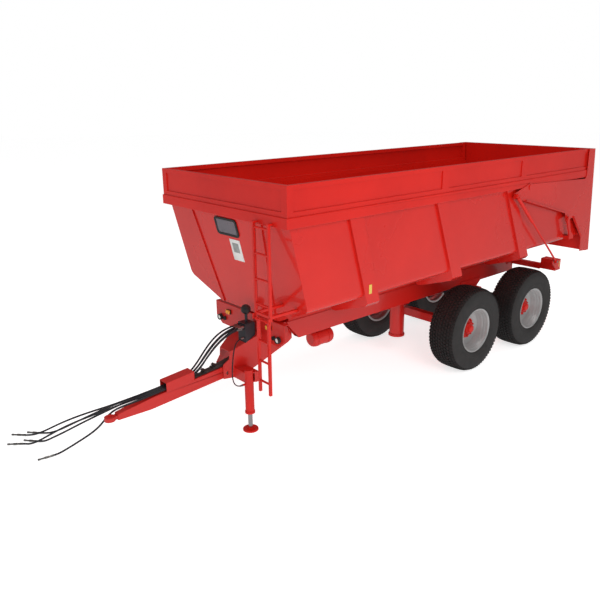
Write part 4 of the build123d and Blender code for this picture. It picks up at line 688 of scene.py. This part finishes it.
def add_tread(bm, centre, sizes):
    """Rows of skewed blocks round the carcass."""
    rows = sizes.tread_rows
    half_rows = rows // 2
    spacing = TREAD_HALF_WIDTH / half_rows
    pitch = 2 * pi / sizes.tread_pitches
    for row in range(-half_rows, half_rows + 1):
        across = row * spacing
        radius = tread_radius(across)
        slope = (tread_radius(across + 0.004) - tread_radius(across - 0.004)) / 0.008
        width = spacing * BLOCK_SHARE
        length = radius * pitch * BLOCK_SHARE
        depth = sizes.tread_depth + BLOCK_ROOT
        block = bmesh.ops.create_cube(bm, size=1.0)["verts"]
        top = [vert for vert in block if vert.co.z > 0]
        bmesh.ops.scale(bm, vec=(0.86, 0.86, 1.0), verts=top)
        bmesh.ops.scale(bm, vec=(length, width, depth), verts=block)
        skew = Matrix.Rotation(radians(BLOCK_SKEW if row % 2 else -BLOCK_SKEW), 4, "Z")
        tilt = Matrix.Rotation(slope, 4, "X")
        lift = Matrix.Translation((0, across, radius - depth / 2))
        half_step = pitch / 2 if row % 2 else 0.0
        bmesh.ops.transform(bm, matrix=lift @ tilt @ skew, verts=block)
        faces = list({face for vert in block for face in vert.link_faces})
        for face in faces:
            face.material_index = 1
        stagger = Matrix.Rotation(half_step, 3, "Y")
        bmesh.ops.rotate(bm, cent=(0, 0, 0), matrix=stagger, verts=block)
        bmesh.ops.spin(
            bm,
            geom=faces,
            cent=(0, 0, 0),
            axis=(0, 1, 0),
            dvec=(0, 0, 0),
            angle=2 * pi - pitch,
            steps=sizes.tread_pitches - 1,
            use_duplicate=True,
        )
    bmesh.ops.translate(bm, vec=centre, verts=bm.verts[:])


def add_carcass(bm, centre, outward):
    """Closed casing of a tyre: bead, bellied sidewall with its fitting ring, shoulder and tread bed."""
    half = [
        (0.124, 0.3064), (0.178, 0.3064), (0.1850, 0.3290), (0.1955, 0.3360), (0.2040, 0.3470),
        (0.2105, 0.3640), (0.2145, 0.3850), (0.2158, 0.3960), (0.2185, 0.3980), (0.2188, 0.4030),
        (0.2172, 0.4050), (0.2188, 0.4300), (0.2198, 0.4650), (0.2190, 0.4950), (0.2165, 0.5200),
        (0.2120, 0.5420), (0.2050, 0.5600), (0.1990, 0.5700), (0.1960, 0.5790), (0.1890, 0.5850),
        (0.1600, 0.5960), (0.1250, 0.6030), (0.0800, 0.6085), (0.0350, 0.6105),
    ]
    lining = [(0.124, 0.3144), (0.180, 0.378), (0.196, 0.475), (0.176, 0.526), (0.130, 0.566)]
    outline = half + [(-along, radius) for along, radius in reversed(half)]
    outline += [(-along, radius) for along, radius in lining] + list(reversed(lining))
    turned(bm, outline, centre, outward, 96)
    for face in bm.faces:
        middle = face.calc_center_median() - centre
        if Vector((middle.x, 0, middle.z)).length > CASING_TREAD:
            face.material_index = 1


def build_tyre(wheel, sizes):
    centre, outward = wheel_place(wheel)
    bm = bmesh.new()
    add_tread(bm, centre, sizes)
    add_carcass(bm, centre, outward)
    finish_piece(bm, "casing_" + wheel, ["tyre_sidewall", "tyre_tread"], "wheel_" + wheel,
                 ["tyre_" + wheel], crease=28.0)


def build_rim(wheel):
    centre, outward = wheel_place(wheel)
    outline = [
        (-0.198, 0.328), (-0.189, 0.328), (-0.184, 0.306), (-0.118, 0.302), (-0.088, 0.272),
        (0.048, 0.272), (0.088, 0.302), (0.184, 0.306), (0.189, 0.3275), (0.193, 0.3290),
        (0.198, 0.3270), (0.1985, 0.3200), (0.194, 0.3080), (0.188, 0.3015), (0.182, 0.2995),
        (0.152, 0.2980), (0.148, 0.2955), (0.1465, 0.2895), (0.143, 0.2870), (0.116, 0.2855),
        (0.111, 0.2830), (0.106, 0.2750), (0.101, 0.2725), (0.072, 0.2660), (0.064, 0.2625),
        (0.055, 0.2540), (0.047, 0.2515), (0.036, 0.2500), (0.030, 0.2440), (0.018, 0.2200),
        (0.008, 0.1990), (0.005, 0.1880), (0.007, 0.1780), (0.014, 0.1690), (0.0225, 0.1640),
        (0.0228, 0.0900), (0.0108, 0.0900), (0.0108, 0.1580), (-0.004, 0.1700), (-0.008, 0.1880),
        (0.000, 0.2120), (0.014, 0.2450), (0.016, 0.2600), (-0.092, 0.2620), (-0.122, 0.2920),
        (-0.190, 0.2960), (-0.196, 0.3080), (-0.198, 0.3200),
    ]
    bm = bmesh.new()
    turned(bm, outline, centre, outward, 96)
    finish_piece(bm, "wheel_disc_" + wheel, "rim_lacquer", "wheel_" + wheel, ["rim_" + wheel])


def build_hub(wheel):
    centre, outward = wheel_place(wheel)
    outline = [
        (-0.126, 0.0351), (-0.126, 0.199), (-0.138, 0.199), (-0.138, 0.213), (-0.132, 0.216),
        (-0.060, 0.212), (-0.019, 0.207), (-0.006, 0.158), (0.0106, 0.158), (0.0106, 0.088),
        (0.026, 0.0878), (0.030, 0.0850), (0.036, 0.0842), (0.074, 0.0830), (0.080, 0.0800),
        (0.083, 0.0740), (0.084, 0.0640), (0.088, 0.0620), (0.104, 0.0600), (0.112, 0.0560),
        (0.118, 0.0470), (0.1215, 0.0330), (0.1225, 0.0150), (0.1226, 0.0),
    ]
    bm = bmesh.new()
    turned(bm, outline, centre, outward, 64)
    flange = [(0.0226, 0.0890), (0.0226, 0.1500), (0.0250, 0.1520), (0.0275, 0.1500), (0.0285, 0.0890)]
    turned(bm, flange, centre, outward, 64)
    for index in range(6):
        angle = pi / 3 * index + 0.3
        place = centre + outward * 0.0835 + Vector((cos(angle), 0, sin(angle))) * 0.0725
        bolt(bm, place, outward, 0.009)
    finish_piece(bm, "wheel_hub_" + wheel, "body_enamel", "wheel_" + wheel, ["hub_" + wheel])


def build_nuts(wheel, sizes):
    centre, outward = wheel_place(wheel)
    bm = bmesh.new()
    for index in range(sizes.wheel_nuts):
        angle = 2 * pi * index / sizes.wheel_nuts
        seat = centre + outward * NUT_SEAT + Vector((sin(angle), 0, cos(angle))) * STUD_CIRCLE
        bar(bm, seat, seat + outward * 0.006, 0.0205, 20, 0.0015)
        bar(bm, seat, seat + outward * 0.024, 0.0165, 6, 0.0015)
        bar(bm, seat, seat + outward * 0.036, 0.0100, 14, 0.0015)
    angle = radians(20)
    spoke = Vector((sin(angle), 0, cos(angle)))
    stem = centre + spoke * 0.259 + outward * 0.066
    lean = (outward * 0.9 - spoke * 0.25).normalized()
    bar(bm, stem, stem + lean * 0.014, 0.0070, 12, 0.001, material=1)
    bar(bm, stem, stem + lean * 0.052, 0.0042, 12, 0.001, material=1)
    finish_piece(bm, "wheel_nuts_" + wheel, ["frame_enamel", "bright_steel"], "wheel_" + wheel)


class TRAILER_OT_wheels(bpy.types.Operator):
    """Build tyres, rims, hubs and nuts of the four wheels"""

    bl_idname = "trailer.wheels"
    bl_label = "Wheels"

    def execute(self, context):
        sizes = context.scene.trailer_sizes
        for wheel in WHEELS:
            build_tyre(wheel, sizes)
            build_rim(wheel)
            build_hub(wheel)
            build_nuts(wheel, sizes)
        return {"FINISHED"}


# ---- lamps and reflectors
class TRAILER_OT_lamps(bpy.types.Operator):
    """Build the marker lamps, the sockets on the bulkhead and the tail lamp clusters"""

    bl_idname = "trailer.lamps"
    bl_label = "Lamps"

    def execute(self, context):
        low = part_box("lamps")[0]
        bm = bmesh.new()
        for side in both(1):
            centre = Vector((BULKHEAD_FACE, side * 0.410, 1.2725))
            slab(bm, centre + Vector((0.005, 0, 0)), (0.010, 0.090, 0.055), 0.002, material=1)
            slab(bm, centre + Vector((0.021, 0, 0)), (0.022, 0.082, 0.048), 0.006, segments=3)
            for row in range(5):
                step = Vector((0.0325, (row - 2) * 0.014, 0))
                slab(bm, centre + step, (0.003, 0.006, 0.040), 0.001)
            for step in both(0.036):
                bolt(bm, centre + Vector((0.010, step, 0)), (1, 0, 0), 0.004, material=2)
        finish_piece(bm, "marker_lamps", ["amber_lens", "black_plastic", "bright_steel"], "chassis",
                     ["lamps"])
        bm = bmesh.new()
        for side in both(1):
            for across, radius, depth in ((0.590, 0.040, 0.042), (0.500, 0.026, 0.024)):
                seat = Vector((BULKHEAD_FACE, side * across, 1.165))
                ring = [(0.0, radius * 0.72), (0.0, radius), (depth * 0.8, radius), (depth, radius * 0.94),
                        (depth, radius * 0.84), (depth * 0.7, radius * 0.80), (depth * 0.7, radius * 0.72)]
                turned(bm, ring, seat, (1, 0, 0), 36)
                lens = [(0.002, 0.0), (0.002, radius * 0.8), (depth * 0.72, radius * 0.80),
                        (depth * 0.86, radius * 0.55), (depth * 0.92, radius * 0.25), (depth * 0.93, 0.0)]
                turned(bm, lens, seat, (1, 0, 0), 32, material=1 if across > 0.55 else 0)
        finish_piece(bm, "round_lamps", ["black_plastic", "white_lens"], "chassis")
        bm = bmesh.new()
        for side in both(1):
            centre = Vector((low.x + 0.016, side * 1.080, 1.2515))
            slab(bm, centre + Vector((0.008, 0, 0)), (0.016, 0.230, 0.133), 0.004, material=0)
            for offset, width, lens in ((-0.072, 0.066, 2), (0.0, 0.066, 1), (0.072, 0.066, 3)):
                place = centre + Vector((-0.006, side * offset, 0))
                slab(bm, place, (0.018, width, 0.112), 0.006, segments=3, material=lens)
                for row in range(7):
                    slab(bm, place + Vector((-0.009, 0, (row - 3) * 0.015)), (0.002, width - 0.012, 0.005),
                         0.0008, segments=1, material=lens)
            for step in both(0.108):
                bolt(bm, centre + Vector((0.0, step, 0.058)), (-1, 0, 0), 0.004, material=0)
        finish_piece(bm, "tail_lamps", ["black_plastic", "amber_lens", "red_lens", "white_lens"], "chassis")
        return {"FINISHED"}


class TRAILER_OT_reflectors(bpy.types.Operator):
    """Build the yellow side reflectors and the blank plate on the front wall"""

    bl_idname = "trailer.reflectors"
    bl_label = "Reflectors and plate"

    def execute(self, context):
        bm = bmesh.new()
        for side in both(1):
            centre = Vector((1.285, side * (RIB_FACE + 0.002), 1.736))
            slab(bm, centre, (0.046, 0.004, 0.110), 0.0015)
            for row in range(6):
                slab(bm, centre + Vector((0, side * 0.002, (row - 2.5) * 0.016)), (0.038, 0.002, 0.010),
                     0.0006, segments=1)
        finish_piece(bm, "side_reflectors", "reflector_yellow", "tipping_body")
        bm = bmesh.new()
        for side in both(1):
            slab(bm, (-3.180, side * BEAM_END, 1.265), (0.030, 0.004, 0.095), 0.001)
        finish_piece(bm, "beam_reflectors", "reflector_yellow", "chassis")
        low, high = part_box("window_glass")
        lean = Matrix.Rotation(FRONT_LEAN, 4, "Y")
        down = lean @ Vector((0, 0, -1))
        out = lean @ Vector((1, 0, 0))
        middle = (low + high) / 2
        centre = Vector((middle.x, 0.085, middle.z)) + down * 0.285 - out * 0.003
        bm = bmesh.new()
        slab(bm, centre, (0.004, 0.200, 0.270), 0.0012, turn=lean)
        slab(bm, centre + out * 0.002 - down * 0.030, (0.003, 0.120, 0.120), 0.001, turn=lean, material=1)
        for across, along in ((0.088, 0.122), (-0.088, 0.122), (0.088, -0.122), (-0.088, -0.122)):
            seat = centre + down * along + Vector((0, across, 0)) + out * 0.002
            bar(bm, seat, seat + out * 0.002, 0.004, 12, 0.0006, material=2)
        finish_piece(bm, "blank_plate", ["white_enamel", "grey_print", "bright_steel"], "tipping_body")
        return {"FINISHED"}


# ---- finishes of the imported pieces
FINISHES = {
    "tub_enamel": ("tub_shell", "body_ribs", "tailgate_arms"),
    "body_enamel": (
        "top_rail", "extension_boards", "body_subframe", "upper_ladder", "lower_ladder",
        "tailgate_panel", "grain_hatch", "door_ram_barrels", "door_ram_rods", "jack_barrel", "jack_foot",
    ),
    "frame_enamel": (
        "chassis_rails", "cross_members", "lamp_beam", "bogie_hangers", "drawbar_neck", "front_bulkhead",
        "drawbar_beam", "drawbar_eye", "hose_guide", "jack_bracket", "ram_barrel", "axles", "air_tank",
        "spring_saddles",
    ),
    # The drawbar's leaf spring takes this dark steel to match a dark strip along the drawbar that is partly
    # shade under the top plate's edge, so its darkness is partly painted shade.
    "spring_steel": ("bogie_springs", "drawbar_leaf_spring"),
    "dark_steel": ("valve_block", "brake_chambers"),
    "black_plastic": ("accumulator",),
    "chrome": ("jack_rod", "ram_stage_1", "ram_stage_2", "ram_stage_3"),
    "bright_steel": ("pivot_pins",),
    "seal_rubber": ("window_frame",),
    "tinted_glass": ("window_glass",),
}
FOLDED = (
    "body_ribs", "top_rail", "extension_boards", "drawbar_neck", "front_bulkhead", "drawbar_beam",
    "hose_guide", "lamp_beam", "chassis_rails", "tailgate_panel",
)
MACHINED = (
    "upper_ladder", "lower_ladder", "tailgate_arms", "valve_block", "jack_bracket", "jack_barrel",
    "drawbar_eye", "drawbar_leaf_spring", "ram_barrel", "door_ram_barrels", "body_subframe", "cross_members",
    "bogie_hangers", "spring_saddles", "axles", "grain_hatch",
)


def soften(node, width, crease=40.0):
    """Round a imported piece's edges without touching its mesh."""
    weld = node.modifiers.new("join seams", "WELD")
    weld.merge_threshold = 0.00005
    edge = node.modifiers.new("round edges", "BEVEL")
    edge.width = width
    edge.segments = 2
    edge.limit_method = "ANGLE"
    edge.angle_limit = radians(crease)
    edge.miter_outer = "MITER_ARC"
    edge.use_clamp_overlap = True
    even = node.modifiers.new("even shading", "WEIGHTED_NORMAL")
    even.keep_sharp = True


class TRAILER_OT_finishes(bpy.types.Operator):
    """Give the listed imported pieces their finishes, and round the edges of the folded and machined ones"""

    bl_idname = "trailer.finishes"
    bl_label = "Finishes"

    def execute(self, context):
        sizes = context.scene.trailer_sizes
        for material, names in FINISHES.items():
            for name in names:
                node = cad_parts[name]
                for slot in node.material_slots:
                    slot.material = bpy.data.materials[material]
        for names, width in ((FOLDED, sizes.folded_edge), (MACHINED, sizes.cast_edge)):
            for name in names:
                soften(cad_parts[name], width)
        return {"FINISHED"}


# ---- stage
def view_matrix(place, yaw, pitch, roll):
    """Camera matrix from its place and its three turns in degrees; pitch is downwards."""
    yaw, pitch, roll = radians(yaw), radians(pitch), radians(roll)
    ahead = Vector((cos(yaw) * cos(pitch), sin(yaw) * cos(pitch), -sin(pitch)))
    right = Vector((sin(yaw), -cos(yaw), 0))
    up = right.cross(ahead)
    right, up = right * cos(roll) + up * sin(roll), up * cos(roll) - right * sin(roll)
    matrix = Matrix((right, up, -ahead)).transposed().to_4x4()
    matrix.translation = Vector(place)
    return matrix


def area_light(name, place, target, size, power, shiny=True):
    light = bpy.data.lights.new(name, "AREA")
    light.shape = "RECTANGLE"
    light.size, light.size_y = size
    light.energy = power
    lamp = bpy.data.objects.new(name, light)
    bpy.context.scene.collection.objects.link(lamp)
    lamp.visible_glossy = shiny
    aim = Vector(target) - Vector(place)
    turn = aim.to_track_quat("-Z", "Y").to_matrix().to_4x4()
    lamp.matrix_world = Matrix.Translation(Vector(place)) @ turn


def place_camera(scene):
    data = bpy.data.cameras.new("camera")
    data.sensor_width = 36.0
    data.lens = CAMERA_LENS
    data.shift_x, data.shift_y = CAMERA_SHIFT
    data.clip_end = 200.0
    camera = bpy.data.objects.new("camera", data)
    scene.collection.objects.link(camera)
    camera.matrix_world = view_matrix(CAMERA_PLACE, *CAMERA_TURN)
    scene.camera = camera


def lay_floor():
    """Round sheet of white paper that mirrors only faintly in the enamel."""
    bm = bmesh.new()
    bmesh.ops.create_circle(bm, cap_ends=True, segments=64, radius=FLOOR_RADIUS)
    mesh = bpy.data.meshes.new("floor")
    bm.to_mesh(mesh)
    bm.free()
    floor = put_in_scene("floor", mesh)
    paper = bpy.data.materials.new("floor_paper")
    paper.use_nodes = True
    nodes, links = paper.node_tree.nodes, paper.node_tree.links
    shader = nodes["Principled BSDF"]
    shader.inputs["Roughness"].default_value = 0.7
    shader.inputs["Specular IOR Level"].default_value = 0.1
    shader.inputs["Emission Color"].default_value = (1, 1, 1, 1)
    rays = nodes.new("ShaderNodeLightPath")
    for name, (seen, mirrored) in (("Emission Strength", PAPER_GLOW), ("Base Color", PAPER_WHITE)):
        pick = nodes.new("ShaderNodeMapRange")
        pick.inputs["To Min"].default_value = seen
        pick.inputs["To Max"].default_value = mirrored
        links.new(rays.outputs["Is Glossy Ray"], pick.inputs["Value"])
        links.new(pick.outputs["Result"], shader.inputs[name])
    mesh.materials.append(paper)


def light_room(scene):
    """White surroundings to the camera, dimmer as light and dimmest in reflections."""
    world = bpy.data.worlds.new("studio")
    world.use_nodes = True
    nodes, links = world.node_tree.nodes, world.node_tree.links
    sky = nodes["Background"]
    sky.inputs["Color"].default_value = (1, 1, 1, 1)
    rays = nodes.new("ShaderNodeLightPath")
    glossy = nodes.new("ShaderNodeMix")
    glossy.inputs["A"].default_value = ROOM_LIGHT
    glossy.inputs["B"].default_value = ROOM_MIRRORED
    links.new(rays.outputs["Is Glossy Ray"], glossy.inputs["Factor"])
    seen = nodes.new("ShaderNodeMix")
    seen.inputs["B"].default_value = ROOM_SEEN
    links.new(glossy.outputs["Result"], seen.inputs["A"])
    links.new(rays.outputs["Is Camera Ray"], seen.inputs["Factor"])
    links.new(seen.outputs["Result"], sky.inputs["Strength"])
    scene.world = world


class TRAILER_OT_stage(bpy.types.Operator):
    """Place the camera, the pale floor and the studio lights"""

    bl_idname = "trailer.stage"
    bl_label = "Stage"

    def execute(self, context):
        place_camera(context.scene)
        lay_floor()
        light_room(context.scene)
        area_light("key", (4.5, 9.5, 7.5), (0.0, 0.0, 1.0), (7.0, 5.0), 540.0, shiny=False)
        area_light("front", (11.0, 0.5, 6.0), (1.0, 0.0, 1.2), (6.0, 5.0), 85.0, shiny=False)
        area_light("top", (-1.0, 0.5, 11.0), (-1.0, 0.0, 1.0), (9.0, 6.0), 380.0)
        context.scene.view_settings.view_transform = "Standard"
        return {"FINISHED"}


class TRAILER_PT_panel(bpy.types.Panel):
    """Sidebar list of the trailer's builders and settings"""

    bl_label = "Trailer"
    bl_idname = "TRAILER_PT_panel"
    bl_space_type = "VIEW_3D"
    bl_region_type = "UI"
    bl_category = "Trailer"

    def draw(self, context):
        for settings in (context.scene.trailer_sizes, context.scene.trailer_colours):
            box = self.layout.box()
            for name in settings.bl_rna.properties.keys():
                if name not in {"rna_type", "name"}:
                    box.prop(settings, name)
        for operator in OPERATORS:
            self.layout.operator(operator.bl_idname)


OPERATORS = (
    TRAILER_OT_stage,
    TRAILER_OT_hoses,
    TRAILER_OT_hose_fittings,
    TRAILER_OT_finishes,
    TRAILER_OT_wheels,
    TRAILER_OT_lamps,
    TRAILER_OT_reflectors,
)
CLASSES = (TRAILER_PG_sizes, TRAILER_PG_colours, *OPERATORS, TRAILER_PT_panel)


def register():
    for cls in CLASSES:
        bpy.utils.register_class(cls)
    bpy.types.Scene.trailer_sizes = PointerProperty(type=TRAILER_PG_sizes)
    bpy.types.Scene.trailer_colours = PointerProperty(type=TRAILER_PG_colours)


def unregister():
    del bpy.types.Scene.trailer_colours
    del bpy.types.Scene.trailer_sizes
    for cls in reversed(CLASSES):
        bpy.utils.unregister_class(cls)


def main():
    register()
    make_materials(bpy.context.scene.trailer_colours)
    for operator in OPERATORS:
        group, action = operator.bl_idname.split(".")
        getattr(getattr(bpy.ops, group), action)()


if __name__ == "__main__":
    main()
